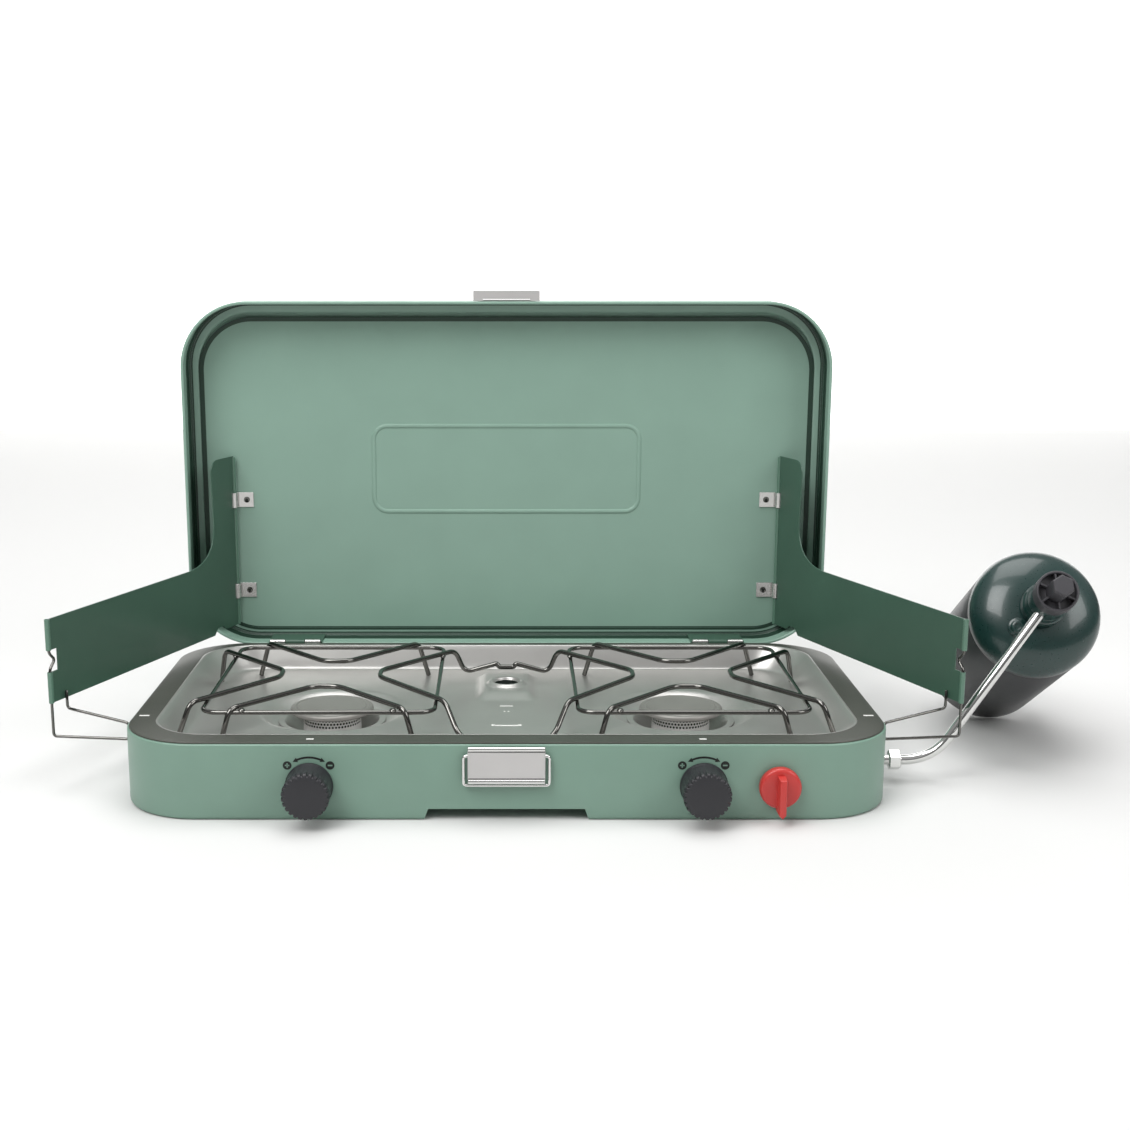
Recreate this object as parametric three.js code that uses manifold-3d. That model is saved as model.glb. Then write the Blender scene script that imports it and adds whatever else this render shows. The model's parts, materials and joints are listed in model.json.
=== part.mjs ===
// Two-burner suitcase camping stove, lid open, wind panels spread and a fuel bottle on its regulator.
// Millimetres. +X is the user's right, +Y runs to the back, +Z is up.
// The origin is the centre of the case's underside.
import * as THREE from "three";
import { mergeVertices } from "three/addons/utils/BufferGeometryUtils.js";
import Module from "manifold-3d";

const wasm = await Module();
wasm.setup();

// ---- Driving dimensions ----

const CASE_WIDTH = 556;
const CASE_DEPTH = 298;
const CASE_HEIGHT = 57;
const CASE_CORNER = 57;
const SHEET = 1.2;
const GAP = 0.3; // space kept between pieces that touch
const RIGHT = CASE_WIDTH / 2;
const FRONT = -CASE_DEPTH / 2;
const BACK = CASE_DEPTH / 2;

const LID_TOP = 352.5; // height of the open lid's upper edge
const LID_BOTTOM = 54;
const LID_DEPTH = 38;
const LID_HINGE_Y = BACK + 2.4;
const LID_HINGE_Z = 57;
const LID_RIM_Y = LID_HINGE_Y + 0.2; // plane of the open lid's rim
const LID_LEAF_X = 186.6; // centre of each lid hinge
const LID_LEAF_WIDTH = 47;

const TRAY_SHEET = 0.8;
const TRAY_FLOOR = 37; // height of the tray's floor along its walls
const BURNER_X = 139;
const BURNER_Y = FRONT + 155;
const BOWL_LIP_Z = 28.5;
const CAP_Z = 35.6; // underside of the burner caps
const BOWL_RADIUS = 41;
const DISH_RADIUS = 60;

const SUPPORT_Z = 66.6; // centre of the pot supports
const SUPPORT_RADIUS = 2;
const RING_RADIUS = 1.75;
const RING_Z = SUPPORT_Z - SUPPORT_RADIUS - RING_RADIUS + 0.25;

const KNOB_Z = 26.2;
const IGNITER_X = 192.5;
const IGNITER_Z = 25.7;

const PANEL_HINGE_X = 240.7;
const PANEL_HINGE_Y = FRONT + 329.5;
const PANEL_SPREAD = THREE.MathUtils.degToRad(21.2); // outward from straight ahead
const PANEL_LENGTH = 272.4;
const PANEL_SHEET = 1;
const PANEL_BOTTOM = 64.6;
const PANEL_TOP = 128.8;
const STRIP_TOP = 218;
const STRIP_WIDTH = 38;
const HEM_RADIUS = 2;
const STAY_RADIUS = 1.2;
const CLIP_HEIGHTS = [178.7, 97.1];

const INLET_Y = FRONT + 88;
const INLET_Z = 16.6;
const TUBE_RADIUS = 3.8;
const BOTTLE_RADIUS = 49.5;
const BOTTLE_LENGTH = 172; // shoulder to base
const BOTTLE_SHOULDER = new THREE.Vector3(406.4, FRONT + 127.8, 120.7);
const BOTTLE_AXIS = new THREE.Vector3(-0.067, -0.89, 0.45).normalize(); // base to valve

const CORNER_STEPS = 6;

// ---- Materials ----

const paint = (color, roughness = 0.45, metalness = 0) =>
  new THREE.MeshStandardMaterial({ color, roughness, metalness });

const SAGE = paint(0x7d9b8a);
const DARK_GREEN = paint(0x3d5a4b, 0.4);
const STAINLESS = paint(0xb9bab6, 0.35, 1);
const CHROME = paint(0xd8d8d6, 0.12, 1);
const ZINC = paint(0xc8c9c6, 0.3, 1);
const BRASS = paint(0xb5975a, 0.35, 1);
const CHARCOAL = paint(0x3d3c41, 0.6);
const RED = paint(0xd8433e, 0.35);
const BOTTLE_PAINT = paint(0x1f3b38, 0.15);
const CERAMIC = paint(0xe8e6df, 0.4);
const BLACK = paint(0x222222, 0.5);

// ---- Solids ----

function signedVolume(position, index) {
  const a = new THREE.Vector3();
  const b = new THREE.Vector3();
  const c = new THREE.Vector3();
  let sum = 0;
  for (let i = 0; i < index.length; i += 3) {
    a.fromBufferAttribute(position, index[i]);
    b.fromBufferAttribute(position, index[i + 1]);
    c.fromBufferAttribute(position, index[i + 2]);
    sum += a.dot(b.cross(c));
  }
  return sum / 6;
}

// A closed geometry as a manifold solid facing out.
function solidOf(geometry) {
  const bare = geometry.clone();
  bare.deleteAttribute("normal");
  bare.deleteAttribute("uv");
  const merged = mergeVertices(bare, 1e-4);
  const position = merged.getAttribute("position");
  const source = merged.index.array;
  const index = [];
  for (let i = 0; i < source.length; i += 3) {
    const [a, b, c] = [source[i], source[i + 1], source[i + 2]];
    if (a !== b && b !== c && a !== c) index.push(a, b, c);
  }
  if (signedVolume(position, index) < 0) index.reverse();
  return new wasm.Manifold(
    new wasm.Mesh({
      numProp: 3,
      vertProperties: new Float32Array(position.array),
      triVerts: new Uint32Array(index),
    }),
  );
}

function geometryOf(solid) {
  const mesh = solid.getMesh();
  const geometry = new THREE.BufferGeometry();
  geometry.setAttribute(
    "position",
    new THREE.BufferAttribute(new Float32Array(mesh.vertProperties), 3),
  );
  geometry.setIndex([...mesh.triVerts]);
  return geometry;
}

const join = (...parts) => geometryOf(parts.map(solidOf).reduce((a, b) => a.add(b)));

const cut = (body, ...tools) =>
  geometryOf(tools.map(solidOf).reduce((a, b) => a.subtract(b), solidOf(body)));

const common = (a, b) => geometryOf(solidOf(a).intersect(solidOf(b)));

const mirrored = (geometry) =>
  geometryOf(solidOf(geometry.clone().applyMatrix4(new THREE.Matrix4().makeScale(-1, 1, 1))));

// ---- Shapes ----

// A rounded rectangle as a ring of points at one height.
function outline(x0, x1, y0, y1, radius, z) {
  const corners = [
    [x1 - radius, y1 - radius],
    [x0 + radius, y1 - radius],
    [x0 + radius, y0 + radius],
    [x1 - radius, y0 + radius],
  ];
  return corners.flatMap(([cx, cy], quarter) =>
    Array.from({ length: CORNER_STEPS + 1 }, (_, i) => {
      const angle = (quarter + i / CORNER_STEPS) * (Math.PI / 2);
      return new THREE.Vector3(
        cx + radius * Math.cos(angle),
        cy + radius * Math.sin(angle),
        z,
      );
    }),
  );
}

// Convex rings joined in order, with a flat cap on the first and the last.
function skin(rings) {
  const n = rings[0].length;
  const points = rings.flat();
  const index = [];
  for (let r = 0; r + 1 < rings.length; r++) {
    for (let i = 0; i < n; i++) {
      const a = r * n + i;
      const b = r * n + ((i + 1) % n);
      index.push(a, b, b + n, a, b + n, a + n);
    }
  }
  const last = (rings.length - 1) * n;
  for (let i = 1; i + 1 < n; i++) {
    index.push(0, i + 1, i, last, last + i, last + i + 1);
  }
  const geometry = new THREE.BufferGeometry().setFromPoints(points);
  geometry.setIndex(index);
  return geometry;
}

const box = (x0, x1, y0, y1, z0, z1) =>
  new THREE.BoxGeometry(x1 - x0, y1 - y0, z1 - z0).translate(
    (x0 + x1) / 2,
    (y0 + y1) / 2,
    (z0 + z1) / 2,
  );

// A profile of [radius, height] pairs turned about +Z.
const turned = (profile, segments = 32) =>
  new THREE.LatheGeometry(
    profile.map(([radius, height]) => new THREE.Vector2(radius, height)),
    segments,
  ).rotateX(Math.PI / 2);

// A closed profile turned about +Z, for a piece with a hole along its axis.
const turnedRing = (profile, segments = 32) => turned([...profile, profile[0]], segments);

const rod = (radius, z0, z1, segments = 20) =>
  turned([[0, z0], [radius, z0], [radius, z1], [0, z1]], segments);

const pipe = (inner, outer, z0, z1, segments = 20) =>
  turnedRing([[inner, z0], [outer, z0], [outer, z1], [inner, z1]], segments);

const alongX = (geometry) => geometry.rotateY(Math.PI / 2);
const alongY = (geometry) => geometry.rotateX(-Math.PI / 2);

// A flat shape in the X-Z plane, extruded along Y from y0 to y1.
const plateXZ = (shape, y0, y1, curveSegments = 8) =>
  new THREE.ExtrudeGeometry(shape, { depth: y1 - y0, bevelEnabled: false, curveSegments })
    .rotateX(Math.PI / 2)
    .translate(0, y1, 0);

// A path through chosen points, stepped point by point.
class Route extends THREE.Curve {
  constructor(points) {
    super();
    this.points = points;
  }

  getUtoTmapping(u) {
    return u;
  }

  getPoint(t) {
    const place = t * (this.points.length - 1);
    const i = Math.min(Math.floor(place), this.points.length - 2);
    return this.points[i].clone().lerp(this.points[i + 1], place - i);
  }

  getTangent(t) {
    const i = Math.round(t * (this.points.length - 1));
    const here = this.points[i];
    const before = this.points[i - 1] ?? here;
    const after = this.points[i + 1] ?? here;
    const arriving = here.clone().sub(before).normalize();
    const leaving = after.clone().sub(here).normalize();
    return arriving.add(leaving).normalize();
  }
}

// Corner points [x, y, z] with each inner corner turned into a bend.
function bentRoute(corners, bend, steps) {
  const points = corners.map((p) => new THREE.Vector3(...p));
  const path = [points[0]];
  for (let i = 1; i + 1 < points.length; i++) {
    const [before, here, after] = points.slice(i - 1, i + 2);
    const into = here.clone().sub(before);
    const out = after.clone().sub(here);
    const reach = Math.min(bend, into.length() * 0.45, out.length() * 0.45);
    const start = here.clone().addScaledVector(into.normalize(), -reach);
    const end = here.clone().addScaledVector(out.normalize(), reach);
    path.push(...new THREE.QuadraticBezierCurve3(start, here, end).getPoints(steps));
  }
  path.push(points.at(-1));
  return new Route(path);
}

function wire(corners, radius, { bend = 6, steps = 3, sides = 8, bore = 0 } = {}) {
  const route = bentRoute(corners, bend, steps);
  const section = new THREE.Shape().absarc(0, 0, radius, 0, 2 * Math.PI);
  if (bore) section.holes.push(new THREE.Path().absarc(0, 0, bore, 0, 2 * Math.PI, true));
  return new THREE.ExtrudeGeometry(section, {
    steps: route.points.length - 1,
    extrudePath: route,
    curveSegments: sides / 2,
  });
}

// ---- Assembly ----

const stove = new THREE.Group();

function add(name, geometry, material) {
  const mesh = new THREE.Mesh(geometryOf(solidOf(geometry)), material);
  mesh.name = name;
  stove.add(mesh);
}

// A piece of the left side and its mirror image on the right.
function addPair(name, geometry, material) {
  add(name + "_left", geometry, material);
  add(name + "_right", mirrored(geometry), material);
}

// ---- Case ----

const caseRing = (inset, z) =>
  outline(-RIGHT + inset, RIGHT - inset, FRONT + inset, BACK - inset, CASE_CORNER - inset, z);

const RIM_LIP = 6;
const NOTCH_WIDTH = 118;
const NOTCH_HEIGHT = 8.4;
const NOTCH_REACH = 36;
const NOTCH_SLANT = 3.5;

// The raised recess in the front edge of the underside, grown by a margin.
function notchBlock(margin) {
  const half = NOTCH_WIDTH / 2 + margin;
  const top = NOTCH_HEIGHT + margin;
  const shape = new THREE.Shape([
    new THREE.Vector2(-half, -1),
    new THREE.Vector2(half, -1),
    new THREE.Vector2(half - NOTCH_SLANT, top),
    new THREE.Vector2(-half + NOTCH_SLANT, top),
  ]);
  return plateXZ(shape, FRONT - 2, FRONT + NOTCH_REACH + margin);
}

function caseShell() {
  const rimTop = CASE_HEIGHT - TRAY_SHEET - GAP;
  const outside = [caseRing(5, 0), caseRing(1.5, 1.5), caseRing(0, 5), caseRing(0, rimTop - 1)];
  const lip = [
    caseRing(1, rimTop),
    caseRing(RIM_LIP, rimTop),
    caseRing(RIM_LIP, rimTop - SHEET),
    caseRing(SHEET, rimTop - SHEET),
  ];
  const inside = [caseRing(SHEET, 6), caseRing(6, SHEET)];
  const pan = skin([...outside, ...lip, ...inside]);
  const block = skin([...outside, caseRing(1, rimTop)]);
  const withRecess = join(pan, common(block, notchBlock(SHEET)));
  const stemHole = (x, z, radius) =>
    alongY(rod(radius, -8, 8)).translate(x, FRONT, z);
  return cut(
    withRecess,
    notchBlock(0),
    stemHole(-BURNER_X, KNOB_Z, 5),
    stemHole(BURNER_X, KNOB_Z, 5),
    stemHole(IGNITER_X, IGNITER_Z, 5),
    alongX(rod(5.6, -8, 8)).translate(RIGHT, INLET_Y, INLET_Z),
  );
}

add("case_shell", caseShell(), SAGE);

// ---- Drip tray ----

const TRAY_FRONT = FRONT + 22;
const TRAY_BACK = BACK - 9;
const TRAY_SIDE = RIGHT - 20;
const TRAY_CORNER = 42;
const BOSS_Y = FRONT + 218;

const trayRing = (inset, z, grow = 0) =>
  outline(
    -TRAY_SIDE + inset - grow,
    TRAY_SIDE - inset + grow,
    TRAY_FRONT + inset - grow,
    TRAY_BACK - inset * 0.55 + grow,
    TRAY_CORNER - inset * 0.5,
    z,
  );

function dripTray() {
  const under = CASE_HEIGHT - TRAY_SHEET;
  const floor = TRAY_FLOOR;
  const pan = skin([
    trayRing(20, floor - TRAY_SHEET),
    trayRing(16, floor - TRAY_SHEET + 0.4),
    trayRing(3, under - 3, 0.6),
    trayRing(0, under, 0.4),
    caseRing(1.2, under),
    caseRing(1.2, CASE_HEIGHT),
    trayRing(0, CASE_HEIGHT),
    trayRing(3, CASE_HEIGHT - 3),
    trayRing(16, floor + 0.5),
    trayRing(20, floor),
  ]);
  const side = (sign) => sign * BURNER_X;
  const wells = [-1, 1].map((sign) =>
    rod(DISH_RADIUS - 0.4, floor - 8, floor + 8, 28).translate(side(sign), BURNER_Y, 0),
  );
  const dish = turnedRing(
    [
      [DISH_RADIUS, floor - TRAY_SHEET],
      [DISH_RADIUS, floor],
      [DISH_RADIUS - 4, floor - 0.8],
      [BOWL_RADIUS + 4, BOWL_LIP_Z - 0.4],
      [BOWL_RADIUS - 2, BOWL_LIP_Z - 0.9],
      [BOWL_RADIUS - 2, BOWL_LIP_Z - 1.7],
      [BOWL_RADIUS + 4, BOWL_LIP_Z - 1.2],
      [DISH_RADIUS - 4, floor - 1.6],
    ],
    28,
  );
  const dishes = [-1, 1].map((sign) => dish.clone().translate(side(sign), BURNER_Y, 0));
  const boss = turned(
    [[0, floor - TRAY_SHEET], [24, floor - TRAY_SHEET], [24, floor], [16, floor + 5], [0, floor + 5]],
    16,
  ).translate(0, BOSS_Y, 0);
  const bossHollow = turned(
    [[0, floor - 2], [22, floor - 2], [22, floor - 0.6], [15, floor + 4.2], [0, floor + 4.2]],
    16,
  ).translate(0, BOSS_Y, 0);
  const bossHole = rod(9.8, floor - 4, floor + 8, 16).translate(0, BOSS_Y, 0);
  const slots = [-1, 1].map((sign) =>
    box(-3.7, 3.7, -0.9, 0.9, CASE_HEIGHT - 3, CASE_HEIGHT + 2).translate(
      sign * (RIGHT - 9),
      FRONT + 69,
      0,
    ),
  );
  return cut(join(cut(pan, ...wells), ...dishes, boss), bossHollow, bossHole, ...slots);
}

add("drip_tray", dripTray(), STAINLESS);

// ---- Burners ----

const MIXER_Z = 18.5;
const HEAD_RADIUS = 23;
const PLUG_OFFSET = 27; // ceramic spark plug behind the burner head

function burnerBowl() {
  const bowl = turnedRing(
    [
      [BOWL_RADIUS + 1.5, BOWL_LIP_Z],
      [BOWL_RADIUS + 1.5, BOWL_LIP_Z + 0.8],
      [BOWL_RADIUS - 3.4, BOWL_LIP_Z + 0.8],
      [BOWL_RADIUS - 6.4, BOWL_LIP_Z - 4.3],
      [BOWL_RADIUS - 13.4, 12],
      [HEAD_RADIUS + 0.6, 11],
      [HEAD_RADIUS + 0.6, 10],
      [BOWL_RADIUS - 12.4, 11],
      [BOWL_RADIUS - 5.4, BOWL_LIP_Z - 4.8],
      [BOWL_RADIUS - 2.6, BOWL_LIP_Z - 0.2],
    ],
    24,
  );
  const mixerHole = alongY(rod(8.6, -60, -5, 20)).translate(0, 0, MIXER_Z);
  const plugHole = rod(2.6, 5, 18, 12).translate(0, PLUG_OFFSET, 0);
  return cut(bowl, mixerHole, plugHole);
}

const atBurner = (geometry) => geometry.translate(-BURNER_X, BURNER_Y, 0);

const burnerScreen = turned(
  [
    [0, 8],
    [HEAD_RADIUS, 8],
    [HEAD_RADIUS, CAP_Z - 0.4],
    [HEAD_RADIUS - 1, CAP_Z - 0.4],
    [HEAD_RADIUS - 1, 9.2],
    [0, 9.2],
  ],
  24,
);
const burnerCap = turned(
  [
    [0, 1.4],
    [HEAD_RADIUS - 2, 1.4],
    [HEAD_RADIUS - 1, 0],
    [31.5, 0],
    [33, 0.8],
    [33, 2],
    [29, 3.6],
    [16, 4.8],
    [0, 5],
  ],
  28,
);

addPair("burner_bowl", atBurner(burnerBowl()), STAINLESS);
addPair("burner_screen", atBurner(burnerScreen), STAINLESS);
addPair("burner_cap", atBurner(burnerCap).translate(0, 0, CAP_Z), STAINLESS);

const mixingTube = wire(
  [
    [-BURNER_X, FRONT + 29, KNOB_Z],
    [-BURNER_X, FRONT + 46, KNOB_Z],
    [-BURNER_X, FRONT + 72, MIXER_Z],
    [-BURNER_X, BURNER_Y - HEAD_RADIUS - GAP, MIXER_Z],
  ],
  7.5,
  { bend: 10, steps: 2, sides: 12, bore: 6 },
);
addPair("mixing_tube", mixingTube, ZINC);

const valveBody = join(
  box(-8, 8, 3, 19, KNOB_Z - 7.5, KNOB_Z + 8),
  alongY(rod(6, 2, 4)).translate(0, 0, KNOB_Z),
  alongY(rod(3.2, 18, 27)).translate(0, 0, KNOB_Z),
).translate(-BURNER_X, FRONT, 0);
const stemSocket = alongY(rod(2.9, 0, 12)).translate(-BURNER_X, FRONT, KNOB_Z);
addPair("burner_valve", cut(valveBody, stemSocket), BRASS);

// ---- Gas line and ignition ----

const MANIFOLD_Y = FRONT + 13;
const MANIFOLD_Z = 14.2;
const IGNITER_LENGTH = 46;
const LEAD_Z = 4.5;

add(
  "gas_manifold",
  wire(
    [
      [RIGHT - 14.5, INLET_Y, INLET_Z],
      [RIGHT - 34, INLET_Y, INLET_Z],
      [RIGHT - 42, INLET_Y - 14, MANIFOLD_Z],
      [RIGHT - 46, MANIFOLD_Y, MANIFOLD_Z],
      [-BURNER_X - 10, MANIFOLD_Y, MANIFOLD_Z],
    ],
    4,
    { bend: 12, steps: 3, sides: 8 },
  ),
  BRASS,
);

const inlet = join(
  rod(5.2, -14, 3, 24),
  rod(9.5, -8, -SHEET - GAP, 6),
  rod(7.8, GAP, 4.2, 24),
);
add(
  "fuel_inlet",
  cut(alongX(inlet), alongX(rod(4.2, -6, 6, 20))).translate(RIGHT, INLET_Y, INLET_Z),
  CHROME,
);

add(
  "igniter_module",
  cut(
    alongY(rod(7.2, 2, IGNITER_LENGTH, 16)).translate(IGNITER_X, FRONT, IGNITER_Z),
    alongY(rod(3.3, 0, 14)).translate(IGNITER_X, FRONT, IGNITER_Z),
  ),
  BLACK,
);

const sparkPlug = join(rod(2.2, 10.2, 29, 12), rod(0.7, 28, CAP_Z - 1, 8));
addPair("spark_plug", sparkPlug.translate(-BURNER_X, BURNER_Y + PLUG_OFFSET, 0), CERAMIC);

// Each lead leaves the module's rear, drops to the case floor and rises to its spark plug.
function ignitionLead(side, turnY) {
  const x = IGNITER_X + side * 4;
  const plugX = side * BURNER_X;
  const plugY = BURNER_Y + PLUG_OFFSET;
  return wire(
    [
      [x, FRONT + IGNITER_LENGTH + GAP, IGNITER_Z],
      [x, FRONT + 60, IGNITER_Z - 4],
      [x, FRONT + 86, LEAD_Z],
      [x - 16, turnY, LEAD_Z],
      [plugX + 18, turnY, LEAD_Z],
      [plugX, plugY, LEAD_Z],
      [plugX, plugY, 9.9],
    ],
    1.2,
    { bend: 10, steps: 2, sides: 6 },
  );
}

add("ignition_lead_left", ignitionLead(-1, BURNER_Y + 16), BLACK);
add("ignition_lead_right", ignitionLead(1, BURNER_Y + 48), BLACK);

// ---- Grate ----

const TIP_REACH = 39;
const TIP_HALF = 10;
const RING_HALF_X = 86;
const RING_HALF_Y = 99;
const LINK_Y = 76; // the rear link, measured back from the burners' centres

// The grate's left half as bent wires, with corners given from the burner's centre.
function grateWires() {
  const at = ([x, y, z]) => [x - BURNER_X, y + BURNER_Y, z];
  const top = SUPPORT_Z;
  const foot = TRAY_FLOOR + 0.6;
  const flip = (points) => points.map(([x, y, z]) => [-x, y, z]).reverse();
  const support = (corners) => wire(corners.map(at), SUPPORT_RADIUS, { bend: 7, steps: 2, sides: 6 });
  const straddle = (sign) => {
    const half = [
      [-72, sign * 105, foot],
      [-64, sign * 101, top],
      [-TIP_HALF, sign * TIP_REACH, top],
    ];
    return support([...half, ...flip(half)]);
  };
  const outer = support([
    [-101, 76, foot + 2],
    [-97, 75, top],
    [-TIP_REACH, TIP_HALF, top],
    [-TIP_REACH, -TIP_HALF, top],
    [-96, -84, top],
    [-104.5, -89, foot + 5.4],
  ]);
  // The inner support dips to the link behind the burners and to the low link in front.
  const inner = support([
    [BURNER_X + 0.2, LINK_Y, 52],
    [BURNER_X - 6, LINK_Y, 52],
    [BURNER_X - 8, LINK_Y, 55],
    [104, LINK_Y, 47.6],
    [96, 75, top],
    [TIP_REACH, TIP_HALF, top],
    [TIP_REACH, -TIP_HALF, top],
    [93, -80, top],
    [103, -97, 46.5],
    [113, -110, 43],
    [BURNER_X + 0.2, -111, 42.5],
  ]);
  const ringSide = (sign) =>
    wire(
      [
        [-sign * 0.2, -RING_HALF_Y, RING_Z],
        [sign * RING_HALF_X, -RING_HALF_Y, RING_Z],
        [sign * RING_HALF_X, RING_HALF_Y, RING_Z],
        [-sign * 0.2, RING_HALF_Y, RING_Z],
      ].map(at),
      RING_RADIUS,
      { bend: 18, steps: 4, sides: 6 },
    );
  return [straddle(-1), straddle(1), outer, inner, ringSide(-1), ringSide(1)];
}

const leftWires = grateWires();
add("cooking_grate", join(...leftWires, ...leftWires.map(mirrored)), CHROME);

// ---- Lid ----

// A ring of the lid, given by its insets from the edges and its depth behind the rim.
function lidRing(inset, depth, atTop = inset, atBottom = inset) {
  return outline(
    -RIGHT + inset,
    RIGHT - inset,
    LID_BOTTOM + atBottom,
    LID_TOP - atTop,
    CASE_CORNER - inset,
    depth,
  );
}

// From a drawing with Z as depth to the open lid, whose depth runs to the back.
const openLid = (geometry) => geometry.rotateX(Math.PI / 2).scale(1, -1, 1);

const RIVET_X = PANEL_HINGE_X - 10.5;
const LID_PANEL_DEPTH = LID_DEPTH - 3.5; // outer face of the pressed centre panel
const PANEL_FACE_Y = LID_RIM_Y + LID_PANEL_DEPTH - SHEET;

function lidShell() {
  const pan = skin([
    lidRing(14.5, LID_PANEL_DEPTH, 18.6, 9.9),
    lidRing(12, LID_DEPTH, 16, 7.5),
    lidRing(5, LID_DEPTH),
    lidRing(1.5, LID_DEPTH - 1.5),
    lidRing(0, LID_DEPTH - 5),
    lidRing(0, 0.8),
    lidRing(0.8, 0),
    lidRing(2, 0),
    lidRing(2.6, 0.8),
    lidRing(2.6, 1.6),
    lidRing(2, 2.4),
    lidRing(SHEET, 2.4),
    lidRing(SHEET, LID_DEPTH - 5),
    lidRing(2.4, LID_DEPTH - 2.4),
    lidRing(5.4, LID_DEPTH - SHEET),
    lidRing(11.4, LID_DEPTH - SHEET, 15.4, 6.9),
    lidRing(13.9, LID_PANEL_DEPTH - SHEET, 18, 9.3),
  ]);
  const shell = openLid(pan).translate(0, LID_RIM_Y, 0);
  const hingeNotch = (sign) =>
    box(-24.5, 24.5, -1, 2.8, LID_BOTTOM - 1, LID_BOTTOM + 7).translate(
      sign * LID_LEAF_X,
      LID_RIM_Y,
      0,
    );
  const rivetHole = (sign, z) =>
    alongY(rod(1.6, -6, 6, 12)).translate(sign * RIVET_X, PANEL_FACE_Y, z);
  return cut(
    shell,
    ...[-1, 1].flatMap((sign) => [
      hingeNotch(sign),
      ...CLIP_HEIGHTS.map((z) => rivetHole(sign, z)),
    ]),
  );
}

add("lid_shell", lidShell(), SAGE);

const keeper = cut(
  join(
    box(-28.2, 28.2, 1, 2.2, LID_TOP + GAP, LID_TOP + 9),
    box(-24, 24, 1.5, 20, LID_TOP + GAP, LID_TOP + GAP + 1),
  ),
  box(-20, 20, 0, 4, LID_TOP - 1, LID_TOP + 2),
).translate(0, LID_RIM_Y, 0);
add("lid_keeper", keeper, ZINC);

// ---- Lid hinges ----

const KNUCKLE_RADIUS = 2.2;
const PIN_RADIUS = 1;
const PIN_HOLE = 1.3;
const knuckle = (x0, x1) =>
  alongX(pipe(PIN_HOLE, KNUCKLE_RADIUS, x0, x1, 12)).translate(0, LID_HINGE_Y, LID_HINGE_Z);
const atLeaf = (geometry) => geometry.translate(-LID_LEAF_X, 0, 0);
const pinBore = () => alongX(rod(PIN_HOLE, -40, 40, 12)).translate(0, LID_HINGE_Y, LID_HINGE_Z);

const lidLeafPlate = box(
  -LID_LEAF_WIDTH / 2,
  LID_LEAF_WIDTH / 2,
  LID_HINGE_Y + 2.4,
  LID_RIM_Y + 32,
  LID_BOTTOM + SHEET + GAP,
  LID_BOTTOM + SHEET + GAP + 1,
);
const lidLeafTongue = box(
  -8.2,
  8.2,
  LID_HINGE_Y + 1.5,
  LID_HINGE_Y + 3,
  LID_BOTTOM + SHEET + GAP,
  LID_BOTTOM + SHEET + GAP + 1,
);
addPair(
  "lid_hinge_leaf",
  atLeaf(cut(join(lidLeafPlate, lidLeafTongue, knuckle(-8.2, 8.2)), pinBore())),
  DARK_GREEN,
);

const caseLeaf = cut(
  join(
    box(-22, 22, BACK + GAP, BACK + GAP + 1, 34, LID_HINGE_Z - 1),
    knuckle(-22, -8.8),
    knuckle(8.8, 22),
  ),
  pinBore(),
  box(-8.8, 8.8, BACK - 1, BACK + 6, LID_HINGE_Z - 3.2, LID_HINGE_Z + 4),
);
addPair("case_hinge_leaf", atLeaf(caseLeaf), ZINC);

const hingePin = alongX(rod(PIN_RADIUS, -22.6, 22.6, 12));
addPair("hinge_pin", atLeaf(hingePin.translate(0, LID_HINGE_Y, LID_HINGE_Z)), CHROME);

// ---- Wind panels ----

// The left panel is drawn flat: X runs from its hinge to its hem, Y points at the burners.
const panelTurn = -(Math.PI / 2 + PANEL_SPREAD);
const spreadLeft = (geometry) =>
  geometry.rotateZ(panelTurn).translate(-PANEL_HINGE_X, PANEL_HINGE_Y, 0);
const panelPoint = (along, out, z) =>
  new THREE.Vector3(along, out, z)
    .applyAxisAngle(new THREE.Vector3(0, 0, 1), panelTurn)
    .add(new THREE.Vector3(-PANEL_HINGE_X, PANEL_HINGE_Y, 0))
    .toArray();

const NOTCH_LOW = 88.5;
const NOTCH_HIGH = 105;
const ROLL_RADIUS = 1.8;
const ROLL_BOTTOM = PANEL_BOTTOM + 2;
const RIM_NOTCH = PANEL_BOTTOM + 5.6; // top of the notch that clears the lid's round corner
const CLIP_HALF = 6.6;

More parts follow.
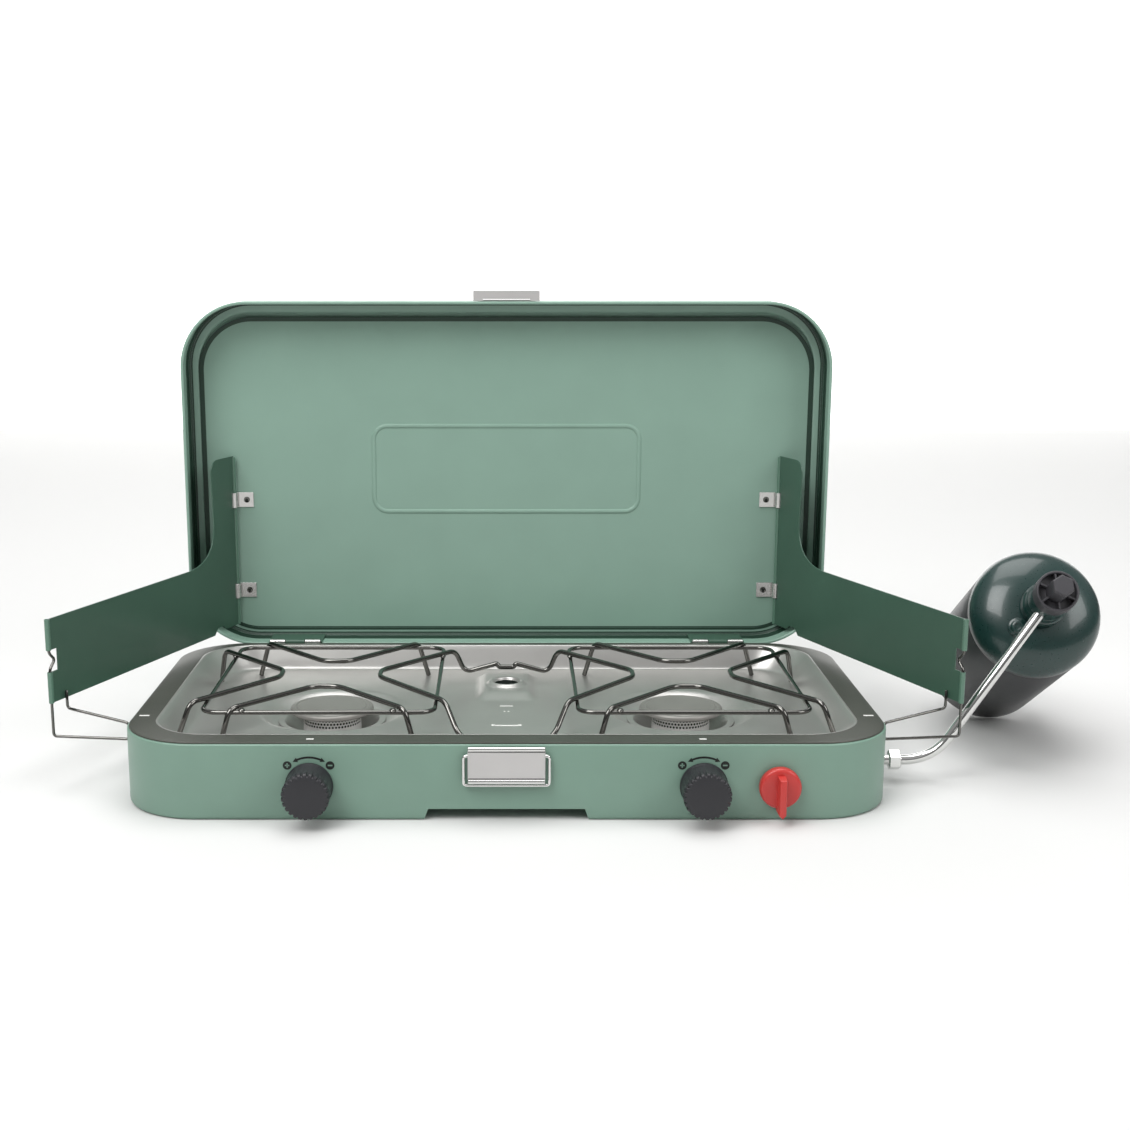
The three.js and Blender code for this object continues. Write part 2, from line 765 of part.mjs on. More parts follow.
function windPanel() {
  const edge = new THREE.Shape()
    .moveTo(0, ROLL_BOTTOM)
    .lineTo(22, ROLL_BOTTOM)
    .lineTo(26, RIM_NOTCH)
    .lineTo(36, RIM_NOTCH)
    .lineTo(41, PANEL_BOTTOM)
    .lineTo(PANEL_LENGTH, PANEL_BOTTOM)
    .lineTo(PANEL_LENGTH, PANEL_TOP)
    .lineTo(STRIP_WIDTH + 40, PANEL_TOP)
    .quadraticCurveTo(STRIP_WIDTH, PANEL_TOP + 1, STRIP_WIDTH - 2, PANEL_TOP + 32)
    .lineTo(STRIP_WIDTH, STRIP_TOP - 14)
    .quadraticCurveTo(STRIP_WIDTH, STRIP_TOP, STRIP_WIDTH - 13, STRIP_TOP)
    .lineTo(0, STRIP_TOP);
  const sheet = plateXZ(edge, -PANEL_SHEET / 2, PANEL_SHEET / 2);
  const roll = rod(ROLL_RADIUS, ROLL_BOTTOM, STRIP_TOP - 1, 12);
  const clipWindows = CLIP_HEIGHTS.map((z) =>
    box(ROLL_RADIUS + 0.05, 4.4, -2, 2, z - CLIP_HALF - 0.6, z + CLIP_HALF + 0.6),
  );
  const hem = rod(HEM_RADIUS, PANEL_BOTTOM, PANEL_TOP, 14).translate(PANEL_LENGTH, 0, 0);
  const bore = rod(1.5, PANEL_BOTTOM - 2, PANEL_TOP + 2, 12).translate(PANEL_LENGTH, 0, 0);
  const notch = box(PANEL_LENGTH - 9.5, PANEL_LENGTH + 4, -5, 5, NOTCH_LOW, NOTCH_HIGH);
  return cut(join(sheet, roll, hem), bore, notch, ...clipWindows);
}

addPair("wind_panel", spreadLeft(windPanel()), DARK_GREEN);

const STAY_LOW = 39;
const STAY_HIGH = 50.5;
const STAY_END_X = -RIGHT - 3.6;

const stay = wire(
  [
    panelPoint(PANEL_LENGTH, 0, PANEL_TOP - 3),
    panelPoint(PANEL_LENGTH, 0, NOTCH_HIGH - 2),
    panelPoint(PANEL_LENGTH - 6.6, 0, (NOTCH_LOW + NOTCH_HIGH) / 2),
    panelPoint(PANEL_LENGTH, 0, NOTCH_LOW + 2),
    panelPoint(PANEL_LENGTH, 0, STAY_LOW),
    [STAY_END_X, FRONT + 73, STAY_LOW - 1.5],
    [STAY_END_X, FRONT + 71.5, STAY_HIGH],
    panelPoint(PANEL_LENGTH - 15.5, 2.3, STAY_HIGH + 6.5),
    panelPoint(PANEL_LENGTH - 15.5, 2.3, PANEL_BOTTOM + 6),
  ],
  STAY_RADIUS,
  { bend: 3, steps: 2, sides: 6 },
);
addPair("wind_stay", stay, CHROME);

// A clip wraps the panel's rolled edge and is riveted to the lid.
function hingeClip() {
  const inner = ROLL_RADIUS + 0.45;
  const wrap = pipe(inner, inner + 1, -CLIP_HALF, CLIP_HALF, 16);
  const plateBack = PANEL_FACE_Y - GAP - PANEL_HINGE_Y;
  const plate = box(-0.5, 16.5, plateBack - 1, plateBack, -CLIP_HALF, CLIP_HALF);
  const hole = alongY(rod(1.6, -8, 8, 10)).translate(PANEL_HINGE_X - RIVET_X, 0, 0);
  const side = cut(plate, rod(inner, -CLIP_HALF - 1, CLIP_HALF + 1, 16));
  return cut(join(wrap, side), hole.translate(0, plateBack, 0));
}

const rivet = alongY(
  turned(
    [
      [0, -2.1],
      [2.2, -2.1],
      [2.6, -1.3 - GAP],
      [1.25, -1.3 - GAP],
      [1.25, SHEET + GAP],
      [2.4, SHEET + GAP],
      [2.4, SHEET + 1],
      [0, SHEET + 1],
    ],
    10,
  ),
);

CLIP_HEIGHTS.forEach((z, i) => {
  const place = ["upper", "lower"][i];
  addPair(
    `panel_clip_${place}`,
    hingeClip().translate(-PANEL_HINGE_X, PANEL_HINGE_Y, z),
    ZINC,
  );
  addPair(
    `clip_rivet_${place}`,
    rivet.clone().translate(-RIVET_X, PANEL_FACE_Y, z),
    CHROME,
  );
});

// ---- Latch ----

const LATCH_PIN_Y = FRONT - 3.4;
const LATCH_PIN_Z = 52.4;
const BAIL_Z = 48.6;
const LEVER_HALF = 27.2;
const EAR_X = 23.5; // ears of the bracket, inside the lever's flanges

const latchBracket = cut(
  join(
    box(-24, 24, FRONT - GAP - 1, FRONT - GAP, 38, 50),
    ...[-1, 1].flatMap((sign) => [
      box(sign * EAR_X - 0.5, sign * EAR_X + 0.5, FRONT - 5.2, FRONT - GAP, 46, LATCH_PIN_Z),
      alongX(rod(1.8, -0.5, 0.5, 12)).translate(sign * EAR_X, LATCH_PIN_Y, LATCH_PIN_Z),
    ]),
  ),
  alongX(rod(PIN_HOLE, -30, 30, 12)).translate(0, LATCH_PIN_Y, LATCH_PIN_Z),
);
add("latch_bracket", latchBracket, ZINC);

const leverFlange = (sign) =>
  box(sign * 26.7 - 0.5, sign * 26.7 + 0.5, FRONT - 5.6, FRONT - 1.4, 46, 53.4);
const latchLever = cut(
  join(
    box(-LEVER_HALF, LEVER_HALF, FRONT - 6.2, FRONT - 5.4, 31, 54),
    alongX(rod(1.6, -LEVER_HALF, LEVER_HALF, 14)).translate(0, FRONT - 5, 54),
    alongX(rod(1.7, -LEVER_HALF, LEVER_HALF, 14)).translate(0, FRONT - 6.9, 30.9),
    leverFlange(-1),
    leverFlange(1),
  ),
  alongX(rod(PIN_HOLE, -30, 30, 12)).translate(0, LATCH_PIN_Y, LATCH_PIN_Z),
  alongX(rod(1.5, -30, 30, 12)).translate(0, LATCH_PIN_Y, BAIL_Z),
  ...[-1, 1].map((sign) =>
    box(sign * EAR_X - 0.9, sign * EAR_X + 0.9, FRONT - 5.4, FRONT, 49, 57),
  ),
);
add("latch_lever", latchLever, ZINC);
add(
  "latch_pin",
  alongX(rod(PIN_RADIUS, -LEVER_HALF, LEVER_HALF, 12)).translate(0, LATCH_PIN_Y, LATCH_PIN_Z),
  CHROME,
);

const BAIL_HALF = 30.2;
const BAIL_LOW = 27.2;
add(
  "latch_bail",
  wire(
    [
      [-25, LATCH_PIN_Y, BAIL_Z],
      [-BAIL_HALF, LATCH_PIN_Y, BAIL_Z],
      [-BAIL_HALF, LATCH_PIN_Y, BAIL_LOW],
      [BAIL_HALF, LATCH_PIN_Y, BAIL_LOW],
      [BAIL_HALF, LATCH_PIN_Y, BAIL_Z],
      [25, LATCH_PIN_Y, BAIL_Z],
    ],
    1.2,
    { bend: 2.4, steps: 2, sides: 6 },
  ),
  CHROME,
);

// ---- Knobs ----

const KNOB_LENGTH = 27;

const burnerKnob = cut(
  turned(
    [
      [0, 1.2],
      [15.4, 1.2],
      [15.8, 2],
      [16.4, 14],
      [16.9, KNOB_LENGTH - 3],
      [15.4, KNOB_LENGTH - 0.8],
      [9, KNOB_LENGTH + 0.8],
      [0, KNOB_LENGTH + 1.4],
    ],
    28,
  ),
  rod(3.2, 0, 17, 16),
);
const towardsFront = (geometry, x, z) => geometry.rotateX(Math.PI / 2).translate(x, FRONT, z);
addPair("burner_knob", towardsFront(burnerKnob, -BURNER_X, KNOB_Z), CHARCOAL);
addPair("knob_stem", towardsFront(rod(2.6, -11.5, 16.5, 16), -BURNER_X, KNOB_Z), BRASS);

const RIDGE_HALF = 2.9;
const ridge = new THREE.Shape([
  new THREE.Vector2(-RIDGE_HALF, 10),
  new THREE.Vector2(-RIDGE_HALF, -16),
  new THREE.Vector2(0, -19),
  new THREE.Vector2(RIDGE_HALF, -16),
  new THREE.Vector2(RIDGE_HALF, 10),
]);
const igniterKnob = cut(
  join(
    turned([[0, 1.2], [14.8, 1.2], [14.8, 6.5], [13.6, 8], [0, 8.6]], 28),
    new THREE.ExtrudeGeometry(ridge, { depth: 15, bevelEnabled: false }).translate(0, 0, 4),
  ),
  rod(3.2, 0, 13, 16),
);
add("igniter_knob", towardsFront(igniterKnob, IGNITER_X, IGNITER_Z), RED);
add("igniter_stem", towardsFront(rod(2.6, -13, 12.5, 16), IGNITER_X, IGNITER_Z), BRASS);

// ---- Regulator, fuel tube and bottle ----

// Pieces drawn along +Z from the bottle's shoulder circle, which is Z = 0.
const bottleTurn = new THREE.Quaternion().setFromUnitVectors(
  new THREE.Vector3(0, 0, 1),
  BOTTLE_AXIS,
);
const onBottle = (geometry) =>
  geometry
    .applyQuaternion(bottleTurn)
    .translate(BOTTLE_SHOULDER.x, BOTTLE_SHOULDER.y, BOTTLE_SHOULDER.z);

const REGULATOR_RADIUS = 15.2;
const REGULATOR_END = 58;
const DOME_HEIGHT = 22;
const DOME_STEPS = 5;
const NECK_RADIUS = 12;
const BOTTLE_WALL = 1.2;

// The dome as a quarter ellipse from the shoulder to the neck, inset by the wall.
const dome = (inset) =>
  Array.from({ length: DOME_STEPS + 1 }, (_, i) => {
    const angle = (i / DOME_STEPS) * (Math.PI / 2);
    return [
      NECK_RADIUS - inset + (BOTTLE_RADIUS - NECK_RADIUS) * Math.cos(angle),
      (DOME_HEIGHT - inset) * Math.sin(angle),
    ];
  });

function bottle() {
  const base = -BOTTLE_LENGTH;
  const wall = BOTTLE_WALL;
  return turned(
    [
      [0, base],
      [BOTTLE_RADIUS - 3, base],
      [BOTTLE_RADIUS, base + 3],
      ...dome(0),
      [NECK_RADIUS, 30],
      [NECK_RADIUS - wall, 30],
      ...dome(wall).reverse(),
      [BOTTLE_RADIUS - wall, base + wall],
      [0, base + wall],
    ],
    32,
  );
}

add("fuel_bottle", onBottle(bottle()), BOTTLE_PAINT);
add(
  "bottle_valve",
  onBottle(turned([[0, 16], [8.5, 16], [8.5, 29.5], [4, 29.5], [4, 32], [0, 32]], 20)),
  BRASS,
);

// The relief valve stands on the dome, square to its surface.
const RELIEF_ANGLE = THREE.MathUtils.degToRad(216);
const RELIEF_OUT = 24;
const reliefRise = Math.acos((RELIEF_OUT - NECK_RADIUS) / (BOTTLE_RADIUS - NECK_RADIUS));
const reliefTilt = Math.atan2(
  Math.cos(reliefRise) * DOME_HEIGHT,
  Math.sin(reliefRise) * (BOTTLE_RADIUS - NECK_RADIUS),
);
const reliefValve = turned([[0, 0], [7, 0], [7, 2.6], [5, 3.2], [5, 6], [4, 7], [0, 7]], 20)
  .translate(0, 0, GAP)
  .rotateY(reliefTilt)
  .translate(RELIEF_OUT, 0, DOME_HEIGHT * Math.sin(reliefRise))
  .rotateZ(RELIEF_ANGLE);
add("relief_valve", onBottle(reliefValve), ZINC);

const regulatorProfile = [
  [0, 33],
  [12.6, 33],
  [12.6, 24.6],
  [16.4, 24.6],
  [16.4, 34],
  [REGULATOR_RADIUS, 36],
  [REGULATOR_RADIUS, REGULATOR_END],
  [0, REGULATOR_END],
];
add("regulator_body", onBottle(turned(regulatorProfile, 24)), BOTTLE_PAINT);

const capFrom = REGULATOR_END + GAP;
const hexPost = new THREE.CylinderGeometry(8.4, 8.4, 22, 6)
  .rotateX(Math.PI / 2)
  .translate(0, 0, capFrom + 17);
add(
  "regulator_cap",
  onBottle(
    join(
      cut(
        rod(REGULATOR_RADIUS + 0.3, capFrom, capFrom + 12, 24),
        pipe(7, 13.4, capFrom + 6, capFrom + 14, 16),
      ),
      hexPost,
    ),
  ),
  BLACK,
);

const junction = new THREE.Vector3()
  .copy(BOTTLE_SHOULDER)
  .addScaledVector(BOTTLE_AXIS, REGULATOR_END - 6);
const tube = wire(
  [
    [RIGHT - 5, INLET_Y, INLET_Z],
    [RIGHT + 45.8, INLET_Y, INLET_Z],
    junction.toArray(),
  ],
  TUBE_RADIUS,
  { bend: 24, steps: 6, sides: 12 },
);
const regulatorSpace = onBottle(rod(REGULATOR_RADIUS + GAP, 30, REGULATOR_END + 20, 32));
add("fuel_tube", cut(tube, regulatorSpace), CHROME);

export default stove;
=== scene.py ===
"""Two-burner suitcase camping stove: fine surfaces, materials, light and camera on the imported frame."""

import json
import math

import bmesh
import bpy
from mathutils import Matrix, Vector


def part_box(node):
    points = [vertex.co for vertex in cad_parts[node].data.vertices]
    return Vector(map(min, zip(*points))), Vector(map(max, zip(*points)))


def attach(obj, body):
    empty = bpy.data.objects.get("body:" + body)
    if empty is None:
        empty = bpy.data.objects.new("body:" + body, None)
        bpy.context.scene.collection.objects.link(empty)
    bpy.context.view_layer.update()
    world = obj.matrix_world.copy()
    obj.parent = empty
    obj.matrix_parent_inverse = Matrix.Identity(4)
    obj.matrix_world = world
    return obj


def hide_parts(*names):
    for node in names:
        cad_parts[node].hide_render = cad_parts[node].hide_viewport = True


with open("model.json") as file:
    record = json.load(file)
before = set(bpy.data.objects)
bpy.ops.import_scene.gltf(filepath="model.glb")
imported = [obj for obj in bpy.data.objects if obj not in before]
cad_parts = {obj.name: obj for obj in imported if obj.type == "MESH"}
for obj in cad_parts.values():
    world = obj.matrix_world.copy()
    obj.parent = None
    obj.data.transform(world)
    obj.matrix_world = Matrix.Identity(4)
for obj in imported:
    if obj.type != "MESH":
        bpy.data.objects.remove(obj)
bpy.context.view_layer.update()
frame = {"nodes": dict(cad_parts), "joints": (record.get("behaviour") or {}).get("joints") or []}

MM = 0.001
SIGNS = (-1, 1)
SIDES = tuple(zip(SIGNS, ("left", "right")))

# ---- Places read from the frame, in millimetres ----


def box_mm(node):
    low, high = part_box(node)
    return low / MM, high / MM


def middle_mm(node):
    low, high = box_mm(node)
    return (low + high) / 2


def joint(name):
    return next(j for j in frame["joints"] if j["name"] == name)


def joint_mm(name):
    return Vector(joint(name)["pos_m"]) / MM


CASE_LOW, CASE_HIGH = box_mm("case_shell")
RIGHT, FRONT, BACK = CASE_HIGH.x, CASE_LOW.y, CASE_HIGH.y
RIM = box_mm("drip_tray")[1].z
LID_LOW, LID_HIGH = box_mm("lid_shell")
LID_RIM_Y = LID_LOW.y
LID_DEPTH = LID_HIGH.y - LID_LOW.y
BURNER_X, BURNER_Y = middle_mm("burner_cap_right").xy
CAP_LOW, CAP_HIGH = box_mm("burner_cap_right")
PANEL_HINGE = joint_mm("wind_panel_left_hinge")
HEM = joint_mm("wind_stay_left_swing")
PANEL_LOW, PANEL_HIGH = box_mm("wind_panel_left")
PANEL_LENGTH = math.hypot(HEM.x - PANEL_HINGE.x, HEM.y - PANEL_HINGE.y)
KNOB = joint_mm("burner_knob_right_turn")
IGNITER = joint_mm("igniter_turn")
LATCH_PIN = joint_mm("latch_lever_hinge")
BAIL_PIN = joint_mm("latch_bail_hinge")
BOTTLE_SHOULDER = joint_mm("bottle_unscrew")
BOTTLE_AXIS = Vector(joint("bottle_unscrew")["axis"])
INLET = middle_mm("fuel_inlet")
INLET_FACE = (RIGHT, INLET.y, INLET.z)
TO_RIGHT = Vector((1, 0, 0))

# Driving dimensions, and the places that follow from them.
CASE_CORNER = 57
SHEET, TRAY_SHEET = 1.2, 0.8
LID_PRESS = 3.5
TRAY_FLOOR = 37
BOWL_LIP_Z = 28.5
SUPPORT_Z = box_mm("cooking_grate")[1].z - 2
SUPPORT_RADIUS = 2
RING_RADIUS = 1.75
CLIP_HEIGHTS = [middle_mm(f"panel_clip_{place}_left").z for place in ("upper", "lower")]
PANEL_FACE_Y = LID_RIM_Y + LID_DEPTH - LID_PRESS - SHEET

# ---- Shapes: each is (vertices, faces) in millimetres ----


def outline(x0, x1, y0, y1, radius, z, steps=18):
    """A rounded rectangle as a ring of points at one height."""
    ring = []
    centres = ((x1, y1, -1, -1), (x0, y1, 1, -1), (x0, y0, 1, 1), (x1, y0, -1, 1))
    for quarter, (x, y, dx, dy) in enumerate(centres):
        for i in range(steps + 1):
            angle = (quarter + i / steps) * math.pi / 2
            reach = Vector((math.cos(angle), math.sin(angle)))
            ring.append((x + dx * radius + radius * reach.x, y + dy * radius + radius * reach.y, z))
    return ring


def loft(rings, closed=False):
    """Rings of equal length joined in order, capped unless the last joins the first."""
    count = len(rings[0])
    verts = [tuple(p) for ring in rings for p in ring]
    faces = []
    for r in range(len(rings) if closed else len(rings) - 1):
        here, there = r * count, (r + 1) % len(rings) * count
        for i in range(count):
            j = (i + 1) % count
            faces.append((here + i, here + j, there + j, there + i))
    if not closed:
        faces.append(tuple(reversed(range(count))))
        faces.append(tuple((len(rings) - 1) * count + i for i in range(count)))
    return verts, faces


def polar(radius, angle):
    """The (x, y) of a point on a circle, angle in radians."""
    return radius * math.cos(angle), radius * math.sin(angle)


def lathe(profile, segments=64, closed=False):
    """A profile of (radius, height) pairs turned about +Z. A closed profile makes a ring."""
    verts, rows, faces = [], [], []
    for radius, height in profile:
        if radius < 1e-6:
            rows.append([len(verts)] * segments)
            verts.append((0, 0, height))
            continue
        rows.append([len(verts) + i for i in range(segments)])
        for i in range(segments):
            verts.append((*polar(radius, 2 * math.pi * i / segments), height))
    following = rows[1:] + rows[:1] if closed else rows[1:]
    for low, high in zip(rows, following):
        for i in range(segments):
            j = (i + 1) % segments
            face = []
            for v in (low[i], low[j], high[j], high[i]):
                if v not in face:
                    face.append(v)
            if len(face) > 2:
                faces.append(tuple(face))
    return verts, faces


def rod(radius, low, high, segments=40):
    return lathe([(0, low), (radius, low), (radius, high), (0, high)], segments)


def tube(inner, outer, low, high, segments=28):
    return lathe([(inner, low), (outer, low), (outer, high), (inner, high)], segments, closed=True)


def rounded_rod(radius, low, high):
    """A rod along +Z with its end edges eased."""
    ease = radius * 0.25
    profile = [(0, low), (radius - ease, low), (radius, low + ease), (radius, high - ease)]
    return lathe([*profile, (radius - ease, high), (0, high)], 32)


def hexagon(levels):
    """A six-sided solid along +Z from (height, corner radius) levels."""
    rings = []
    for z, r in levels:
        rings.append([(*polar(r, math.pi / 3 * k), z) for k in range(6)])
    return loft(rings)


def arc(radius, start, end, steps):
    """Points on an arc about the origin, angles in degrees."""
    return [polar(radius, math.radians(start + (end - start) * i / steps)) for i in range(steps + 1)]


def prism(points, low, high):
    """A flat outline of (x, y) points extruded along +Z."""
    return loft([[(x, y, low) for x, y in points], [(x, y, high) for x, y in points]])


def block(x0, x1, y0, y1, z0, z1):
    return prism([(x0, y0), (x1, y0), (x1, y1), (x0, y1)], z0, z1)


def curve(start, bend, end, steps=12):
    """Points on the smooth curve from start to end that a bend point pulls at."""
    a, b, c = Vector(start), Vector(bend), Vector(end)
    shares = (i / steps for i in range(steps + 1))
    return [a * (1 - t) ** 2 + b * 2 * t * (1 - t) + c * t**2 for t in shares]


def bent(corners, bend, steps=6):
    """A path through corner points with each inner corner rounded."""
    points = [Vector(p) for p in corners]
    path = [points[0]]
    for before, here, after in zip(points, points[1:], points[2:]):
        into, out = here - before, after - here
        reach = min(bend, into.length * 0.45, out.length * 0.45)
        start, end = here - into.normalized() * reach, here + out.normalized() * reach
        path += curve(start, here, end, steps)
    path.append(points[-1])
    return path


def eased(profile, bend, steps):
    """A flat profile's points with each inner corner rounded."""
    return [tuple(p) for p in bent(profile, bend, steps)]


def sweep(path, radius, sides=14, closed=False):
    """A round wire along a path of points, its ends slightly domed unless it is closed."""
    count = len(path)
    tangents = []
    for i in range(count):
        before = path[(i - 1) % count] if closed else path[max(i - 1, 0)]
        after = path[(i + 1) % count] if closed else path[min(i + 1, count - 1)]
        tangents.append((after - before).normalized())
    side = Vector((0, 0, 1)) if closed else tangents[0].orthogonal().normalized()
    rings = []
    for i, (here, tangent) in enumerate(zip(path, tangents)):
        side = (side - tangent * side.dot(tangent)).normalized()
        up = tangent.cross(side)
        levels = [(radius, 0)]
        dome = [(radius * 0.86, radius * 0.18), (radius * 0.55, radius * 0.32)]
        if not closed and i == 0:
            levels = [*((r, -shift) for r, shift in reversed(dome)), *levels]
        if not closed and i == count - 1:
            levels += dome
        for r, shift in levels:
            centre = here + tangent * shift
            turns = (2 * math.pi * k / sides for k in range(sides))
            rings.append([centre + (side * math.cos(a) + up * math.sin(a)) * r for a in turns])
    return loft(rings, closed)


def ribbon(points, width, low, high):
    """A flat strip of a given width along a line of (x, y) points."""
    line = [Vector(p) for p in points]
    left, right = [], []
    for i, here in enumerate(line):
        along = (line[min(i + 1, len(line) - 1)] - line[max(i - 1, 0)]).normalized()
        across = Vector((-along.y, along.x)) * width / 2
        left.append(tuple(here + across))
        right.append(tuple(here - across))
    return prism(left + right[::-1], low, high)


def moved(part, matrix):
    verts, faces = part
    return [tuple(matrix @ Vector(v)) for v in verts], faces


def shifted(part, x=0, y=0, z=0):
    return moved(part, Matrix.Translation((x, y, z)))


def turned(part, angle, axis):
    return moved(part, Matrix.Rotation(math.radians(angle), 4, axis))


def flipped(part):
    """The mirror image across X = 0, faces turned to point out again."""
    verts, faces = part
    return [(-x, y, z) for x, y, z in verts], [tuple(reversed(f)) for f in faces]


def both(part, side):
    """The left piece itself, or its mirror image for the right side."""
    return part if side < 0 else flipped(part)


def forward(part, x, z):
    """From a drawing along +Z to one that points out of the case's front at (x, z)."""
    return shifted(turned(part, 90, "X"), x, FRONT, z)


def facing(part, point, direction):
    """From a drawing along +Z to one along a direction through a point."""
    turn = Vector((0, 0, 1)).rotation_difference(direction).to_matrix().to_4x4()
    return moved(part, Matrix.Translation(point) @ turn)


# ---- Pieces ----


def placed(name, data):
    """A new object in the scene."""
    obj = bpy.data.objects.new(name, data)
    bpy.context.scene.collection.objects.link(obj)
    return obj


def piece(name, parts, materials, body, stands_for=(), sharp=38, bevel=0.0):
    """One object from parts, each (vertices, faces) or ((vertices, faces), material number)."""
    verts, faces, numbers = [], [], []
    for part in parts:
        number = 0
        if isinstance(part[1], int):
            part, number = part
        base = len(verts)
        verts += [tuple(c * MM for c in v) for v in part[0]]
        faces += [tuple(base + i for i in f) for f in part[1]]
        numbers += [number] * len(part[1])
    mesh = bpy.data.meshes.new(name)
    mesh.from_pydata(verts, [], faces)
    mesh.polygons.foreach_set("use_smooth", [True] * len(faces))
    mesh.polygons.foreach_set("material_index", numbers)
    for material in materials:
        mesh.materials.append(material)
    mesh.update()
    outward(mesh)
    mesh.set_sharp_from_angle(angle=math.radians(sharp))
    obj = placed(name, mesh)
    if bevel:
        edge = obj.modifiers.new("edges", "BEVEL")
        edge.width = bevel * MM
        edge.segments = 3
        edge.limit_method = "ANGLE"
        edge.angle_limit = math.radians(35)
        edge.harden_normals = True
    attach(obj, body)
    if stands_for:
        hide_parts(*stands_for)
    return obj


def outward(mesh):
    """Welds shared points and, on a closed surface, turns every face to point out."""
    work = bmesh.new()
    work.from_mesh(mesh)
    bmesh.ops.remove_doubles(work, verts=work.verts, dist=1e-7)
    if all(edge.is_manifold for edge in work.edges):
        bmesh.ops.recalc_face_normals(work, faces=work.faces)
    work.to_mesh(mesh)
    work.free()


def carved(base, steps):
    """A closed part changed by steps, each a boolean operation and another closed part."""

    def temporary(part):
        mesh = bpy.data.meshes.new("carving")
        mesh.from_pydata([tuple(v) for v in part[0]], [], part[1])
        outward(mesh)
        return placed("carving", mesh)

    body = temporary(base)
    helpers = []
    for operation, part in steps:
        helpers.append(temporary(part))
        step = body.modifiers.new("step", "BOOLEAN")
        step.operation = operation
        step.solver = "EXACT"
        step.object = helpers[-1]
    graph = bpy.context.evaluated_depsgraph_get()
    result = bpy.data.meshes.new_from_object(body.evaluated_get(graph))
    part = [tuple(v.co) for v in result.vertices], [tuple(f.vertices) for f in result.polygons]
    for obj in [body, *helpers]:
        bpy.data.objects.remove(obj)
    return part


def without(base, cuts):
    return carved(base, [("DIFFERENCE", cut) for cut in cuts])


# ---- Materials ----


def linear(hex_colour):
    channels = [int(hex_colour[i : i + 2], 16) / 255 for i in (0, 2, 4)]
    return [c / 12.92 if c <= 0.04045 else ((c + 0.055) / 1.055) ** 2.4 for c in channels]


def ramp(nodes, *stops):
    """A colour ramp between two stops, each (position, red, green, blue)."""
    node = nodes.new("ShaderNodeValToRGB")
    for element, (position, *colour) in zip(node.color_ramp.elements, stops):
        element.position = position
        element.color = (*colour, 1)
    return node


def surface(
    name, colour, roughness, metallic=0.0, coat=0.0, spread=0.03, patch=22.0, grain=900.0, bump=0.05,
    stretch=(1, 1, 1), wear=0.08,
):
    """A principled material whose colour, roughness and fine relief vary over the surface.

    patch is the scale of the slow colour change, grain that of the fine relief, per metre."""
    material = bpy.data.materials.new(name)
    material.use_nodes = True
    nodes, links = material.node_tree.nodes, material.node_tree.links
    shader = nodes["Principled BSDF"]
    shader.inputs["Metallic"].default_value = metallic
    shader.inputs["Coat Weight"].default_value = coat
    shader.inputs["Coat Roughness"].default_value = 0.08
    place = nodes.new("ShaderNodeTexCoord")

    slow = nodes.new("ShaderNodeTexNoise")
    slow.inputs["Scale"].default_value = patch
    slow.inputs["Detail"].default_value = 4
    links.new(place.outputs["Object"], slow.inputs["Vector"])
    darker = [c * (1 - spread) for c in linear(colour)]
    lighter = [min(c * (1 + spread), 1) for c in linear(colour)]
    tint = ramp(nodes, (0.3, *darker), (0.7, *lighter))
    links.new(slow.outputs["Fac"], tint.inputs["Fac"])
    links.new(tint.outputs["Color"], shader.inputs["Base Color"])

    scaled = nodes.new("ShaderNodeMapping")
    scaled.inputs["Scale"].default_value = stretch
    links.new(place.outputs["Object"], scaled.inputs["Vector"])
    fine = nodes.new("ShaderNodeTexNoise")
    fine.inputs["Scale"].default_value = grain
    fine.inputs["Detail"].default_value = 3
    links.new(scaled.outputs["Vector"], fine.inputs["Vector"])
    rough = nodes.new("ShaderNodeMapRange")
    rough.inputs["To Min"].default_value = max(roughness - wear, 0.02)
    rough.inputs["To Max"].default_value = min(roughness + wear, 1)
    links.new(fine.outputs["Fac"], rough.inputs["Value"])
    links.new(rough.outputs["Result"], shader.inputs["Roughness"])
    relief = nodes.new("ShaderNodeBump")
    relief.inputs["Strength"].default_value = bump
    relief.inputs["Distance"].default_value = 0.0004
    links.new(fine.outputs["Fac"], relief.inputs["Height"])
    links.new(relief.outputs["Normal"], shader.inputs["Normal"])
    return material


# One sage paint in two copies: darker on the case as painted shade, lighter on the lid as painted light.
CASE_SAGE_PAINTED_DARKER = surface("sage_enamel_painted_darker", "759384", 0.42, coat=0.1, bump=0.1, grain=1400)
LID_SAGE_PAINTED_LIGHTER = surface("sage_enamel_lid_painted_lighter", "87a697", 0.42, coat=0.1, bump=0.1, grain=1400)
# A darker copy of the sage paint for the wind panels' sheets and the lid's hinge leaves: painted shade.
SAGE_PAINTED_SHADE = surface("sage_enamel_painted_shade", "3f5d4e", 0.34, coat=0.12, spread=0.05, bump=0.1, grain=1400)
STEEL = surface(
    "brushed_steel", "b3b2af", 0.32, 0.65, spread=0.04, stretch=(0.05, 1, 1), grain=2200, bump=0.12
)
# The flange is the tray's own steel, given a dark grey: painted reflection of dark surroundings.
FLANGE_PAINTED_DARK_REFLECTION = surface("flange_steel_painted_dark_reflection", "54554f", 0.42, 0.5, spread=0.06, grain=1800, bump=0.08)
CAP_STEEL = surface("satin_cap_steel", "8a8884", 0.4, 0.4, spread=0.05, grain=1600, bump=0.1)
# Chrome darkened for the grate, stays, pins and rivets: painted dark reflection.
CHROME_PAINTED_DARK_REFLECTION = surface("chrome_wire", "6c6b68", 0.12, 1.0, grain=600, bump=0.02, wear=0.04)
